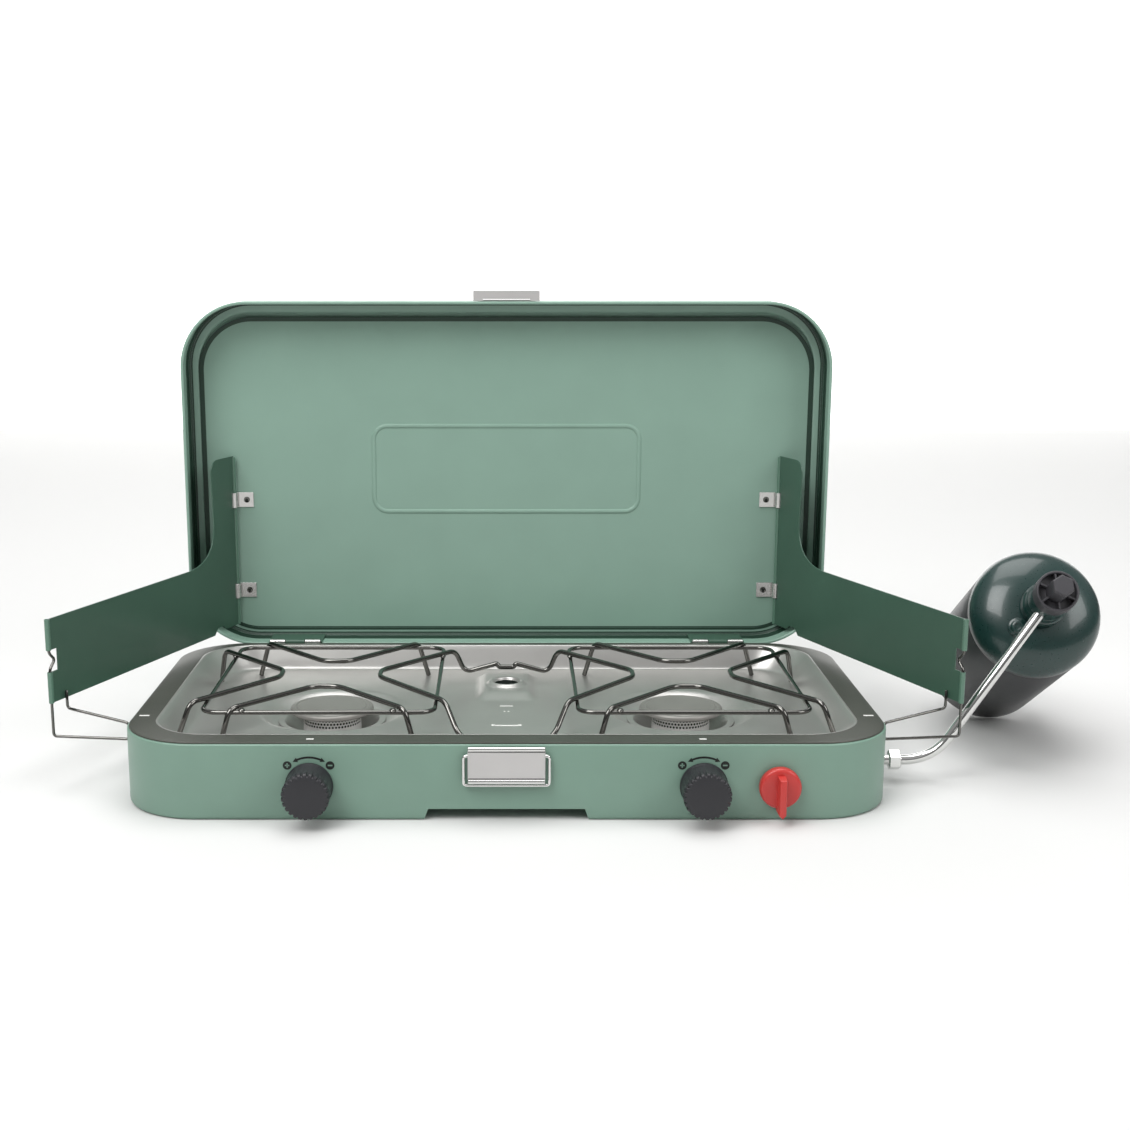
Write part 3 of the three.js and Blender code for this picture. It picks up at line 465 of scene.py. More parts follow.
# A brighter copy of the chrome for the bail, fuel pipe and lever rolls: painted highlight.
CHROME_PAINTED_HIGHLIGHT = surface("chrome_painted_highlight", "dcdcda", 0.1, 1.0, grain=600, bump=0.02, wear=0.04)
ZINC = surface("zinc_plate", "d2d1cf", 0.24, 0.9, grain=1500)
PLATE = surface("latch_plate_zinc", "c2c0bf", 0.42, 0.4, grain=1500)
# Steel brightened past its own tone: painted light on the burner screens, which sit in the caps' shadow.
# The pale tray marks take it too.
PALE_STEEL_PAINTED_LIGHT = surface("pale_steel_painted_light", "f0efec", 0.45, 0.3, grain=1500)
BRASS = surface("machined_brass", "b5975a", 0.3, 1.0, spread=0.08, grain=1200, bump=0.06)
KNOB_BLACK = surface("charcoal_knob", "242428", 0.45, spread=0.05, grain=2600, bump=0.16)
RED = surface("red_knob", "bb3430", 0.34, coat=0.1, spread=0.04, grain=2200, bump=0.06)
DOME = surface("bottle_dome_enamel", "16322f", 0.3, coat=0.4, spread=0.06, grain=500, bump=0.03)
BOTTLE = surface("bottle_body_enamel", "303133", 0.42, coat=0.08, spread=0.06, grain=700)
BLACK = surface("black_plastic", "38373b", 0.5, spread=0.06, grain=2400, bump=0.12)
CERAMIC = surface("white_ceramic", "e8e6df", 0.3, coat=0.4, grain=700, bump=0.03)
# A lighter copy of the sage paint for the panels' rolled edge and hems: painted highlight.
SAGE_EDGE_PAINTED_HIGHLIGHT = surface("sage_rolled_edge_painted_highlight", "587a69", 0.3, coat=0.15, spread=0.04, bump=0.06)
# A very dark copy of the sage paint for the lid's groove and inner wall: painted shade.
PAINTED_SHADE_GREEN = surface("painted_shade_green", "1c382b", 0.45, spread=0.05, bump=0.08, grain=1400)
INK = surface("black_ink", "101412", 0.5, spread=0.05, grain=1500, bump=0.04)
# Near-black for holes, hollows and gaps: painted shade.
PAINTED_SHADE_DARK = surface("painted_shade_recess", "16201b", 0.7, spread=0.1, bump=0.04)

# ---- Case ----


def case_ring(inset, z):
    return outline(-RIGHT + inset, RIGHT - inset, FRONT + inset, BACK - inset, CASE_CORNER - inset, z)


def notch_block(margin):
    """The raised recess in the front edge of the underside, grown by a margin."""
    half, top = 59 + margin, 8.4 + margin
    shape = [(-half, 1), (half, 1), (half - 3.5, -top), (-half + 3.5, -top)]
    return shifted(turned(prism(shape, 0, 38 + margin), -90, "X"), 0, FRONT - 2)


def make_case():
    top, seat = RIM - 1.1, 5
    foot_bend, rim_bend = 3, 1.4
    stem_hole, inlet_hole = 5, 5.6
    foot = [case_ring(foot_bend - x, foot_bend + z) for x, z in arc(foot_bend, -90, 0, 6)]
    rim = [case_ring(rim_bend - x, top - rim_bend + z) for x, z in arc(rim_bend, 0, 90, 5)]
    inside = [case_ring(seat, top), case_ring(seat, top - 1), case_ring(SHEET, top - 1)]
    floor = [case_ring(SHEET, 6), case_ring(seat, SHEET)]
    pan = loft([*foot, *rim, *inside, *floor])
    recess = carved(loft([*foot, *rim]), [("INTERSECT", notch_block(SHEET))])
    stems = [(-KNOB.x, KNOB.z), (KNOB.x, KNOB.z), (IGNITER.x, IGNITER.z)]
    cuts = [forward(rod(stem_hole, -8, 8), x, z) for x, z in stems]
    cuts.append(facing(rod(inlet_hole, -8, 8), INLET_FACE, TO_RIGHT))
    cuts.append(notch_block(0))
    shell = carved(pan, [("UNION", recess), *(("DIFFERENCE", c) for c in cuts)])
    piece("case_body", [shell], [CASE_SAGE_PAINTED_DARKER], "case", ["case_shell"], sharp=30)


make_case()


def make_marks():
    """Turning arrows with plus and minus signs at the knobs, printed on the case's front."""
    low, high = -0.2, 0.12
    reach, sign_z = 20.4, 14.5
    parts = []
    for side in SIGNS:
        x, z = side * KNOB.x, KNOB.z
        parts.append(forward(ribbon(arc(reach, 66, 114, 14), 1.4, low, high), x, z))
        for angle, turn in ((66, -1), (114, 1)):
            tip = Vector(polar(reach, math.radians(angle)))
            way = Vector((-tip.y, tip.x)).normalized() * turn
            across = tip.normalized()
            head = [tip + way * 3.4, tip + across * 1.7, tip - across * 1.7]
            parts.append(forward(prism([tuple(p) for p in head], low, high), x, z))
        for offset, bars in ((-15.3, ((1.6, 0.5), (0.5, 1.6))), (14.9, ((1.6, 0.5),))):
            disc = shifted(rod(3.1, low, high), offset, sign_z)
            parts.append(forward(disc, x, z))
            for half_x, half_z in bars:
                sides = (offset - half_x, offset + half_x, sign_z - half_z, sign_z + half_z)
                parts.append((forward(block(*sides, low, high + 0.05), x, z), 1))
    piece("front_marks", parts, [INK, CASE_SAGE_PAINTED_DARKER], "case")


make_marks()

# ---- Drip tray ----

TRAY_FRONT = FRONT + 22
TRAY_BACK = BACK - 9
TRAY_SIDE = RIGHT - 20
TRAY_CORNER = 42
BOSS_Y = FRONT + 218
FLOOR_INSET, BACK_SHARE = 20, 0.55
BOWL_OPENING, BOSS_OPENING = 35, 13
SLOT_X, SLOT_Y = RIGHT - 9, FRONT + 69


def smooth(t):
    """An even rise from 0 to 1 with soft ends."""
    t = min(max(t, 0.0), 1.0)
    return t * t * (3 - 2 * t)


def tray_height(x, y):
    """Height of the tray's pressed floor at a point."""
    z = TRAY_FLOOR
    for side in SIGNS:
        r = math.hypot(x - side * BURNER_X, y - BURNER_Y)
        dish = 8.9 * (1 - smooth((r - 43) / 17))
        well = 9 * (1 - smooth((r - 33) / 9))
        z -= dish + well
    across = smooth((25 - abs(x)) / 8)
    along = smooth((y - BOSS_Y + 42) / 20) * smooth((BOSS_Y + 40 - y) / 6)
    return z + 4.2 * across * along


def tray_outline(inset):
    """Evenly stepped (x, y) points round the tray's inside, at an inset from its edge.

    The back wall is steeper than the others, so it takes only a share of the inset."""
    steps, straights = 16, (150, 70)
    side, back = TRAY_SIDE - inset, TRAY_BACK - inset * BACK_SHARE
    corner = outline(-side, side, TRAY_FRONT + inset, back, TRAY_CORNER - inset * 0.5, 0, steps)
    points = []
    for i, (x, y, _) in enumerate(corner):
        points.append((x, y))
        quarter, place = divmod(i, steps + 1)
        if place == steps:
            after = corner[(i + 1) % len(corner)]
            count = straights[quarter % 2]
            for k in range(1, count):
                points.append((x + (after[0] - x) * k / count, y + (after[1] - y) * k / count))
    return points


def make_tray():
    drop = RIM - TRAY_FLOOR
    wall = [(-0.6, RIM), (0.6, RIM - 0.25), (1.6, RIM - 1.2)]
    wall += [(1.6 + 12.4 * t, RIM - 1.2 - (drop - 4) * t) for t in (0.2, 0.4, 0.6, 0.8, 1)]
    wall += [(15.4, TRAY_FLOOR + 1.3), (17, TRAY_FLOOR + 0.5)]
    rings = [[(x, y, z) for x, y in tray_outline(inset)] for inset, z in wall]
    edge = tray_outline(FLOOR_INSET)
    middle = (TRAY_FRONT + TRAY_BACK + FLOOR_INSET * (1 - BACK_SHARE)) / 2
    spine = TRAY_SIDE - (TRAY_BACK - TRAY_FRONT) / 2
    levels = 46
    for k in range(levels + 1):
        t = k / levels
        ring = []
        for x, y in edge:
            px = x + (min(max(x, -spine), spine) - x) * t
            py = y + (middle - y) * t
            ring.append((px, py, tray_height(px, py)))
        rings.append(ring)
    verts = [p for ring in rings for p in ring]
    count = len(edge)
    faces = []
    for r in range(len(rings) - 1):
        for i in range(count):
            j = (i + 1) % count
            quad = (r * count + i, r * count + j, (r + 1) * count + j, (r + 1) * count + i)
            x, y = (sum(verts[q][k] for q in quad) / 4 for k in (0, 1))
            under_bowl = math.hypot(abs(x) - BURNER_X, y - BURNER_Y) < BOWL_OPENING
            if not under_bowl and math.hypot(x, y - BOSS_Y) > BOSS_OPENING:
                faces.append(quad)
    basin = piece("tray_basin", [(verts, faces)], [STEEL], "case", ["drip_tray"], sharp=60)
    sheet = basin.modifiers.new("sheet", "SOLIDIFY")
    sheet.thickness = TRAY_SHEET * MM
    sheet.offset = -1


def flange_ring(inset, z):
    x, front, back = TRAY_SIDE - inset, TRAY_FRONT + inset, TRAY_BACK - inset
    return outline(-x, x, front, back, TRAY_CORNER - inset, z)


def make_flange():
    low, high = RIM - TRAY_SHEET, RIM
    rings = [case_ring(1.4, low), case_ring(1.4, high - 0.5), case_ring(1.6, high - 0.15)]
    rings += [case_ring(2.2, high), case_ring(4, high), flange_ring(-1.6, high)]
    rings += [flange_ring(-0.6, high - 0.1), flange_ring(-0.4, high - 0.6), flange_ring(-0.9, low)]
    slot = block(-3.7, 3.7, -0.9, 0.9, -4, 4)
    slots = [shifted(slot, side * SLOT_X, SLOT_Y, RIM) for side in SIGNS]
    ring = without(loft(rings, closed=True), slots)
    piece("tray_flange", [ring], [FLANGE_PAINTED_DARK_REFLECTION], "case", sharp=35)


def make_boss():
    """The rolled rim of the hole in the tray's boss, and a dark well inside it as painted shade."""
    rim = [(17.5, 0), (16.2, 0.5), (14.6, 2.2), (13.2, 2.9), (11.9, 2.6), (10.9, 1.4), (10.4, -1.5)]
    rim += [(10.2, -9), (9.6, -9), (9.8, -1.5), (10.4, 0.6), (12, 1.9), (14.2, 1.6), (16, -0.6)]
    ring = lathe(eased(rim, 0.8, 3), 72, closed=True)
    well = [rod(9.5, -9.6, -9), tube(9.1, 9.55, -9, 0.6, 48)]
    top = tray_height(0, BOSS_Y)
    parts = [shifted(ring, 0, BOSS_Y, top), *((shifted(part, 0, BOSS_Y, top), 1) for part in well)]
    piece("tray_boss", parts, [STEEL, PAINTED_SHADE_DARK], "case")


def make_tray_marks():
    """Pale marks in front of the boss, and the pale tabs and slot liners of the flange."""
    low, high = TRAY_FLOOR - 1, TRAY_FLOOR + 0.12
    parts = [shifted(block(-5.2, 5.2, -1, 1, low, high), 0, FRONT + 164.5)]
    parts += [shifted(rod(0.8, low, high, 16), x, FRONT + 149) for x in (-1.6, 1.6)]
    parts.append(shifted(block(-9.5, 9.5, -1.2, 1.2, low, high), 0, FRONT + 110))
    parts += [shifted(block(-1.4, 1.4, -1, 2.4, low, high), x, FRONT + 110.6) for x in (-10.2, 10.2)]
    tab = block(-2.6, 2.6, -1.2, 1.2, RIM - 1, RIM + 0.1)
    liner = block(-3.7, 3.7, -1.3, 1.3, RIM - 1, RIM + 0.1)
    for side in SIGNS:
        parts.append(shifted(tab, side * BURNER_X, FRONT + 10))
        parts.append(shifted(liner, side * SLOT_X, SLOT_Y))
    piece("tray_marks", parts, [PALE_STEEL_PAINTED_LIGHT], "case", bevel=0.1)


make_tray()
make_flange()
make_boss()
make_tray_marks()

# ---- Burners ----

HEAD_RADIUS = 23
SCREEN_LOW, SCREEN_HIGH = 8, CAP_LOW.z - 0.4
BAND_LOW, BAND_HIGH = 27, SCREEN_HIGH - 0.6
PLUG_OFFSET = 27


def perforated_band(radius, low, high, around, rows):
    """A cylinder of cells, each with an eight-sided hole."""
    verts, faces = [], []
    square = [(1, 0), (1, 1), (0, 1), (-1, 1), (-1, 0), (-1, -1), (0, -1), (1, -1)]
    wide, tall = 2 * math.pi / around, (high - low) / rows
    hole = min(wide * radius, tall) * 0.36

    def on_band(angle, z):
        verts.append((*polar(radius, angle), z))
        return len(verts) - 1

    for row in range(rows):
        z = low + (row + 0.5) * tall
        for k in range(around):
            angle = (k + 0.5 * (row % 2)) * wide
            outer = [on_band(angle + u * wide / 2, z + v * tall / 2) for u, v in square]
            inner = []
            for i in range(8):
                turn = i * math.pi / 4
                inner.append(on_band(angle + math.cos(turn) * hole / radius, z + math.sin(turn) * hole))
            faces += [(outer[i], outer[(i + 1) % 8], inner[(i + 1) % 8], inner[i]) for i in range(8)]
    return verts, faces


def make_burner(side, label):
    def place(part):
        return shifted(part, side * BURNER_X, BURNER_Y)

    lip = BOWL_LIP_Z
    bowl = [(42.5, lip + 0.1), (42.5, lip + 0.8), (37.6, lip + 0.8), (34.6, lip - 4.3), (27.6, 12)]
    bowl += [(HEAD_RADIUS + 0.6, 11), (HEAD_RADIUS + 0.6, 10.1), (28.6, 11), (35.6, lip - 4.8)]
    bowl.append((38.4, lip - 0.1))
    bowl = lathe(eased([*bowl, bowl[0]], 0.9, 3)[:-1], 96, closed=True)
    piece(f"bowl_{label}", [place(bowl)], [STEEL], "case", [f"burner_bowl_{label}"])

    # A dark core inside the perforated band: painted shade seen through its holes.
    shade_core = rod(HEAD_RADIUS - 1, SCREEN_LOW, SCREEN_HIGH, 64)
    band = perforated_band(HEAD_RADIUS - 0.15, BAND_LOW, BAND_HIGH, 56, 3)
    ends = ((SCREEN_LOW, BAND_LOW), (BAND_HIGH, SCREEN_HIGH))
    skirts = [tube(HEAD_RADIUS - 0.9, HEAD_RADIUS, low, high, 64) for low, high in ends]
    parts = [(place(shade_core), 1), *(place(part) for part in (band, *skirts))]
    piece(f"screen_{label}", parts, [PALE_STEEL_PAINTED_LIGHT, PAINTED_SHADE_DARK], "case", [f"burner_screen_{label}"])

    low, high = CAP_LOW.z, CAP_HIGH.z
    crown = [(0, high), (27, high - 0.2), (28, high - 1), (29.2, high - 0.4), (31.8, high - 0.7)]
    crown += [(33, high - 1.8), (33, low + 0.8), (31.5, low), (24.5, low), (23.5, low + 1.2)]
    crown.append((0, low + 1.2))
    cap = lathe(eased(crown, 0.8, 4), 96)
    piece(f"cap_{label}", [place(cap)], [CAP_STEEL], "case", [f"burner_cap_{label}"])

    plug = [(0, 10.2), (2.2, 10.2)]
    for groove in (17, 23):
        plug += [(2.2, groove), (1.8, groove + 0.6), (2.2, groove + 1.2)]
    plug += [(2.2, 28.4), (1.6, 29), (0, 29)]
    plug = shifted(lathe(plug, 28), 0, PLUG_OFFSET)
    tip = sweep([Vector((0, PLUG_OFFSET, 28.6)), Vector((0, PLUG_OFFSET, 34.3))], 0.6, 10)
    parts = [place(plug), (place(tip), 1)]
    piece(f"plug_{label}", parts, [CERAMIC, ZINC], "case", [f"spark_plug_{label}"])


for side, label in SIDES:
    make_burner(side, label)

# ---- Grate ----

RING_Z = SUPPORT_Z - SUPPORT_RADIUS - RING_RADIUS + 0.25
TIP_REACH, TIP_HALF = 39, 10
RING_HALF_X, RING_HALF_Y = 86, 99
LINK_Y = 76


def grate_half():
    """The left burner's wires, drawn from its centre; the inner wires meet the other half's."""
    top, foot = SUPPORT_Z, TRAY_FLOOR + 0.6
    wires = []
    for sign in SIGNS:
        half = [(-72, sign * 105, foot), (-64, sign * 101, top), (-TIP_HALF, sign * TIP_REACH, top)]
        wires.append([*half, *((-x, y, z) for x, y, z in reversed(half))])
    outer = [(-101, 76, foot + 2), (-97, 75, top), (-TIP_REACH, TIP_HALF, top)]
    wires.append([*outer, (-TIP_REACH, -TIP_HALF, top), (-96, -84, top), (-104.5, -89, foot + 5.4)])
    inner = [(BURNER_X, LINK_Y, 52), (BURNER_X - 6, LINK_Y, 52), (BURNER_X - 8, LINK_Y, 55)]
    inner += [(104, LINK_Y, 47.6), (96, 75, top), (TIP_REACH, TIP_HALF, top)]
    inner += [(TIP_REACH, -TIP_HALF, top), (93, -80, top), (103, -97, 46.5)]
    inner += [(113, -110, 43), (BURNER_X, -111, 42.5)]
    wires.append(inner)
    parts = [sweep(bent(wire, 7, 8), SUPPORT_RADIUS, 18) for wire in wires]
    ring = outline(-RING_HALF_X, RING_HALF_X, -RING_HALF_Y, RING_HALF_Y, 13, RING_Z, 10)
    parts.append(sweep([Vector(p) for p in ring], RING_RADIUS, 16, closed=True))
    weld = lathe([(0, -1.7), (2.0, -1.2), (2.7, 0), (2.0, 1.2), (0, 1.7)], 16)
    for x, y in ((-55.5, RING_HALF_Y), (55.5, RING_HALF_Y), (-RING_HALF_X, 63), (RING_HALF_X, 63)):
        for sign in SIGNS:
            parts.append(shifted(weld, x, y * sign, RING_Z + 1.6))
    return [shifted(part, -BURNER_X, BURNER_Y) for part in parts]


def make_grate():
    left = grate_half()
    parts = left + [flipped(part) for part in left]
    piece("grate_wires", parts, [CHROME_PAINTED_DARK_REFLECTION], "grate", ["cooking_grate"], sharp=50)


make_grate()

# ---- Lid ----

PIN_RADIUS, KNUCKLE_RADIUS = 1, 2.2
LID_TOP, LID_BOTTOM = LID_HIGH.z, LID_LOW.z
HINGE_AXIS = joint_mm("lid_hinge")
LEAF_X = middle_mm("hinge_pin_right").x
RIVET_X = middle_mm("clip_rivet_upper_right").x
RIVET_HOLE = turned(rod(1.6, -8, 8, 24), 90, "X")


def lid_ring(inset, depth, at_top, at_bottom):
    """The lid's outline at a depth behind its rim, with insets at the sides, top and bottom."""
    side, low, high = RIGHT - inset, LID_BOTTOM + at_bottom, LID_TOP - at_top
    flat = outline(-side, side, low, high, CASE_CORNER - inset, 0, 24)
    return [(x, LID_RIM_Y + depth, z) for x, z, _ in flat]


def even(inset, depth):
    """A level of the lid with the same inset all round."""
    return (inset, depth, inset, inset)


def make_lid():
    d = LID_DEPTH
    outer_panel = (14.5, d - LID_PRESS, 18.6, 9.9)
    ledge = (12, d, 16, 7.5)
    corner = [even(5 - x, d - 5 + y) for x, y in reversed(arc(5, 0, 90, 6))]
    lip = [even(0, 1.2), even(0.15, 0.5), even(0.6, 0.1), even(1.2, 0), even(2, 0.2), even(2.5, 0.7)]
    lip += [even(2.6, 1.3), even(2.3, 2.1), even(1.9, 2.4), even(SHEET, 2.4)]
    inner = [even(SHEET, d - 7), even(1.6, d - 5.9), even(2.6, d - 5.2), even(4, d - 5)]
    inner += [even(8.4, d - 5), (9.4, d - 4.6, 9.6, 7.6), (10.1, d - 3.6, 10.6, 7.4)]
    inner += [(10.4, d - SHEET, 11.2, 7), (13.2, d - SHEET, 17.4, 8.6)]
    inner.append((13.9, d - LID_PRESS - SHEET, 18, 9.3))
    inner_edge = (15.4, d - LID_PRESS - SHEET, 19.5, 10.8)
    profile = [outer_panel, *eased([outer_panel, ledge, even(5, d)], 1.2, 4)[1:-1]]
    profile += [*corner, *lip, *inner, inner_edge]
    shell = loft([lid_ring(*p) for p in profile])
    cuts = []
    for side in SIGNS:
        cuts.append(shifted(block(-24.5, 24.5, -1, 2.8, -1, 7), side * LEAF_X, LID_RIM_Y, LID_BOTTOM))
        for z in CLIP_HEIGHTS:
            cuts.append(shifted(RIVET_HOLE, side * RIVET_X, PANEL_FACE_Y, z))
    shell = without(shell, cuts)
    piece("lid_pan", [shell], [LID_SAGE_PAINTED_LIGHTER], "lid", ["lid_shell"], sharp=32)


def make_lid_groove_shade():
    """Painted shade: dark liners in the groove round the flat panel and on the wall behind the lip."""
    d = LID_DEPTH
    groove = [(9.9, d - 5.2, 14.4, 6.2), (13.9, d - 4.9, 18, 9.3)]
    groove += [(13.8, d - 3.6, 17.8, 9.2), (10, d - 3.6, 14.4, 6.4)]
    wall = [even(1.3, d / 2), even(1.3, d - 6.6), even(2.9, d - 5.15), even(4.4, d - 5.08)]
    wall += [even(4.4, d - 4.9), even(2.7, d - 4.9), even(1.15, d - 6.4), even(1.15, d / 2)]
    rings = [loft([lid_ring(*p) for p in profile], closed=True) for profile in (groove, wall)]
    piece("lid_groove_shade", rings, [PAINTED_SHADE_GREEN], "lid", sharp=40)


def make_plaque():
    """A plain raised frame pressed into the middle of the lid's panel."""
    half_x, low, high = 119, 166, 246
    levels = [(0, 0.3), (0.5, -0.5), (1.6, -0.9), (2.6, -0.9), (3.7, -0.5), (4.2, 0.3)]
    rings = []
    for inset, lift in levels:
        flat = outline(-half_x + inset, half_x - inset, low + inset, high - inset, 14 - inset, 0, 12)
        rings.append([(x, PANEL_FACE_Y + lift, z) for x, z, _ in flat])
    piece("lid_frame", [loft(rings, closed=True)], [LID_SAGE_PAINTED_LIGHTER], "lid", sharp=50)


def make_keeper():
    low, high = box_mm("lid_keeper")
    face = [(-28.2, low.z), (28.2, low.z), (28.2, high.z), (-28.2, high.z)]
    plate = shifted(turned(prism([(x, -z) for x, z in face], 0, 1.2), -90, "X"), 0, low.y)
    slot = block(-20, 20, low.y - 2, low.y + 3, low.z - 2, LID_TOP + 2)
    foot = block(-24, 24, low.y + 0.5, high.y, low.z, low.z + 1)
    keeper = carved(plate, [("UNION", foot), ("DIFFERENCE", slot)])
    piece("keeper", [keeper], [PLATE], "lid", ["lid_keeper"], bevel=0.25)


make_lid()
make_lid_groove_shade()
make_plaque()
make_keeper()

# ---- Lid hinges ----


def lying(part, x, y, z):
    """From a drawing along +Z to one along +X through a point."""
    return shifted(turned(part, 90, "Y"), x, y, z)


def make_hinges():
    y, z = HINGE_AXIS.y, HINGE_AXIS.z
    low, high = LID_BOTTOM + 1.5, LID_BOTTOM + 2.5
    near, far, bore = BACK + 0.3, BACK + 1.3, 1.3
    half, tongue_half, spans = 22, 8.2, ((-22, -8.8), (8.8, 22))
    for side, label in SIDES:
        x = side * LEAF_X
        leaf_back = box_mm(f"lid_hinge_leaf_{label}")[1].y
        leaf = block(x - 23.5, x + 23.5, y + 2.4, leaf_back, low, high)
        tongue = block(x - tongue_half, x + tongue_half, y + 1.5, y + 3, low, high)
        middle = lying(tube(bore, KNUCKLE_RADIUS, -tongue_half, tongue_half), x, y, z)
        parts = [leaf, tongue, middle]
        node = f"lid_hinge_leaf_{label}"
        # The lid's leaf takes the darker copy of the sage paint: painted shade.
        piece(f"lid_leaf_{label}", parts, [SAGE_PAINTED_SHADE], "lid", [node], bevel=0.2)
        plate = block(x - half, x + half, near, far, 34, z - 3.4)
        knuckles = [lying(tube(bore, KNUCKLE_RADIUS, a, b), x, y, z) for a, b in spans]
        wings = [block(x + a, x + b, near, far, z - 3.5, z - 1) for a, b in spans]
        screw = turned(lathe([(0, 0), (2.6, 0), (2.2, 0.8), (0, 1.1)], 20), -90, "X")
        screws = [shifted(screw, x + sign * 14, BACK + 1.2, 43) for sign in SIGNS]
        parts = [plate, *knuckles, *wings, *screws]
        node = f"case_hinge_leaf_{label}"
        piece(f"case_leaf_{label}", parts, [ZINC], "case", [node], bevel=0.2)
        pin = lathe([(0, -22.6), (0.8, -22.6), (1, -22.3), (1, 22.3), (0.8, 22.6), (0, 22.6)], 20)
        pin = lying(pin, x, y, z)
        piece(f"pin_{label}", [pin], [CHROME_PAINTED_DARK_REFLECTION], "lid", [f"hinge_pin_{label}"])


make_hinges()

# ---- Wind panels ----

PANEL_BOTTOM, PANEL_TOP, STRIP_TOP = PANEL_LOW.z, 128.8, PANEL_HIGH.z
STRIP_WIDTH = 38
NOTCH_LOW, NOTCH_HIGH = 88.5, 105
ROLL_RADIUS, HEM_RADIUS = 1.8, 2
PANEL_TURN = math.atan2(HEM.y - PANEL_HINGE.y, HEM.x - PANEL_HINGE.x)
PANEL_PLACE = Matrix.Translation((PANEL_HINGE.x, PANEL_HINGE.y, 0)) @ Matrix.Rotation(PANEL_TURN, 4, "Z")
RIVET_OFFSET = -PANEL_HINGE.x - RIVET_X


def panel_point(along, out, z):
    """A place on the left panel, along it from its hinge and out from its face."""
    return PANEL_PLACE @ Vector((along, out, z))


def panel_edge():
    """The panel's outline: a long low wing with a notch at its free end, and the tall strip."""
    low, top, width, length = PANEL_BOTTOM, PANEL_TOP, STRIP_WIDTH, PANEL_LENGTH
    points = [(0, low + 2), (22, low + 2), (26, low + 5.6), (36, low + 5.6), (41, low), (length, low)]
    points += [(length, NOTCH_LOW), (length - 9.5, NOTCH_LOW), (length - 9.5, NOTCH_HIGH)]
    points += [(length, NOTCH_HIGH), (length, top)]
    points += curve((width + 40, top), (width, top + 1), (width - 2, top + 32))
    points += curve((width, STRIP_TOP - 14), (width, STRIP_TOP), (width - 13, STRIP_TOP))
    return [*points, (0, STRIP_TOP)]


def make_panel(side, label):
    upright = Matrix.Rotation(math.radians(90), 4, "X")
    sheet = moved(prism([tuple(p) for p in panel_edge()], -0.5, 0.5), upright)
    windows = [block(ROLL_RADIUS + 0.05, 4.4, -2, 2, z - 7.2, z + 7.2) for z in CLIP_HEIGHTS]
    sheet = without(sheet, windows)
    roll = tube(0.7, ROLL_RADIUS, PANEL_BOTTOM + 2, STRIP_TOP - 1, 24)
    spans = ((PANEL_BOTTOM, NOTCH_LOW), (NOTCH_HIGH, PANEL_TOP))
    hems = [shifted(tube(1.5, HEM_RADIUS, a, b, 28), PANEL_LENGTH) for a, b in spans]
    parts = [both(moved(sheet, PANEL_PLACE), side)]
    # The roll and hems take the lighter sage copy as painted highlight; the sheet takes the darker copy
    # as painted shade.
    parts += [(both(moved(p, PANEL_PLACE), side), 1) for p in (roll, *hems)]
    name, finishes = f"wind_panel_{label}", [SAGE_PAINTED_SHADE, SAGE_EDGE_PAINTED_HIGHLIGHT]
    piece(f"wind_sheet_{label}", parts, finishes, name, [name], bevel=0.25)


def make_stay(side, label):
    s, low, high = PANEL_LENGTH, 39, 50.5
    outer_x = -RIGHT - 3.6
    route = [
        panel_point(s, 0, PANEL_TOP - 3),
        panel_point(s, 0, NOTCH_HIGH - 2),
        panel_point(s - 6.6, 0, (NOTCH_LOW + NOTCH_HIGH) / 2),
        panel_point(s, 0, NOTCH_LOW + 2),
        panel_point(s, 0, low),
        (outer_x, FRONT + 73, low - 1.5),
        (outer_x, FRONT + 71.5, high),
        panel_point(s - 15.5, 2.3, high + 6.5),
        panel_point(s - 15.5, 2.3, PANEL_BOTTOM + 6),
    ]
    wire = both(sweep(bent(route, 3, 6), 1.1, 14), side)
    name = f"wind_stay_{label}"
    piece(f"stay_wire_{label}", [wire], [CHROME_PAINTED_DARK_REFLECTION], name, [name], sharp=50)


def make_clips(side, label):
    for place, z in zip(("upper", "lower"), CLIP_HEIGHTS):
        inner, outer, half = ROLL_RADIUS + 0.45, ROLL_RADIUS + 1.45, 6.6
        curl = tube(inner, outer, -half, half, 40)
        back = PANEL_FACE_Y - 0.3 - PANEL_HINGE.y
        plate = block(-0.5, 16.5, back - 1, back, -half, half)
        hole = shifted(RIVET_HOLE, RIVET_OFFSET, back)
        plate = without(plate, [hole, rod(inner, -9, 9, 32)])
        parts = [both(shifted(p, PANEL_HINGE.x, PANEL_HINGE.y, z), side) for p in (curl, plate)]
        node = f"panel_clip_{place}_{label}"
        piece(f"clip_{place}_{label}", parts, [ZINC], "lid", [node], bevel=0.25)
        head = [(0, -1.2), (1.1, -1.2), (1.3, -2.0), (2.2, -2.1), (2.6, -1.6), (1.25, -1.3), (1.25, 1.5)]
        head += [(2.4, 1.5), (2.2, 2.2), (0, 2.2)]
        # The small dark disc deep in the rivet head is painted shade.
        drawn = [turned(part, -90, "X") for part in (lathe(head, 28), rod(1.1, -1.3, -1.22, 20))]
        head, shade_disc = (both(shifted(p, -RIVET_X, PANEL_FACE_Y, z), side) for p in drawn)
        node = f"clip_rivet_{place}_{label}"
        parts = [head, (shade_disc, 1)]
        piece(f"rivet_{place}_{label}", parts, [CHROME_PAINTED_DARK_REFLECTION, PAINTED_SHADE_DARK], "lid", [node])


for side, label in SIDES:
    make_panel(side, label)
    make_stay(side, label)
    make_clips(side, label)

# ---- Latch ----

LATCH_Y, LATCH_Z = LATCH_PIN.y, LATCH_PIN.z
LEVER_HALF = 27.2


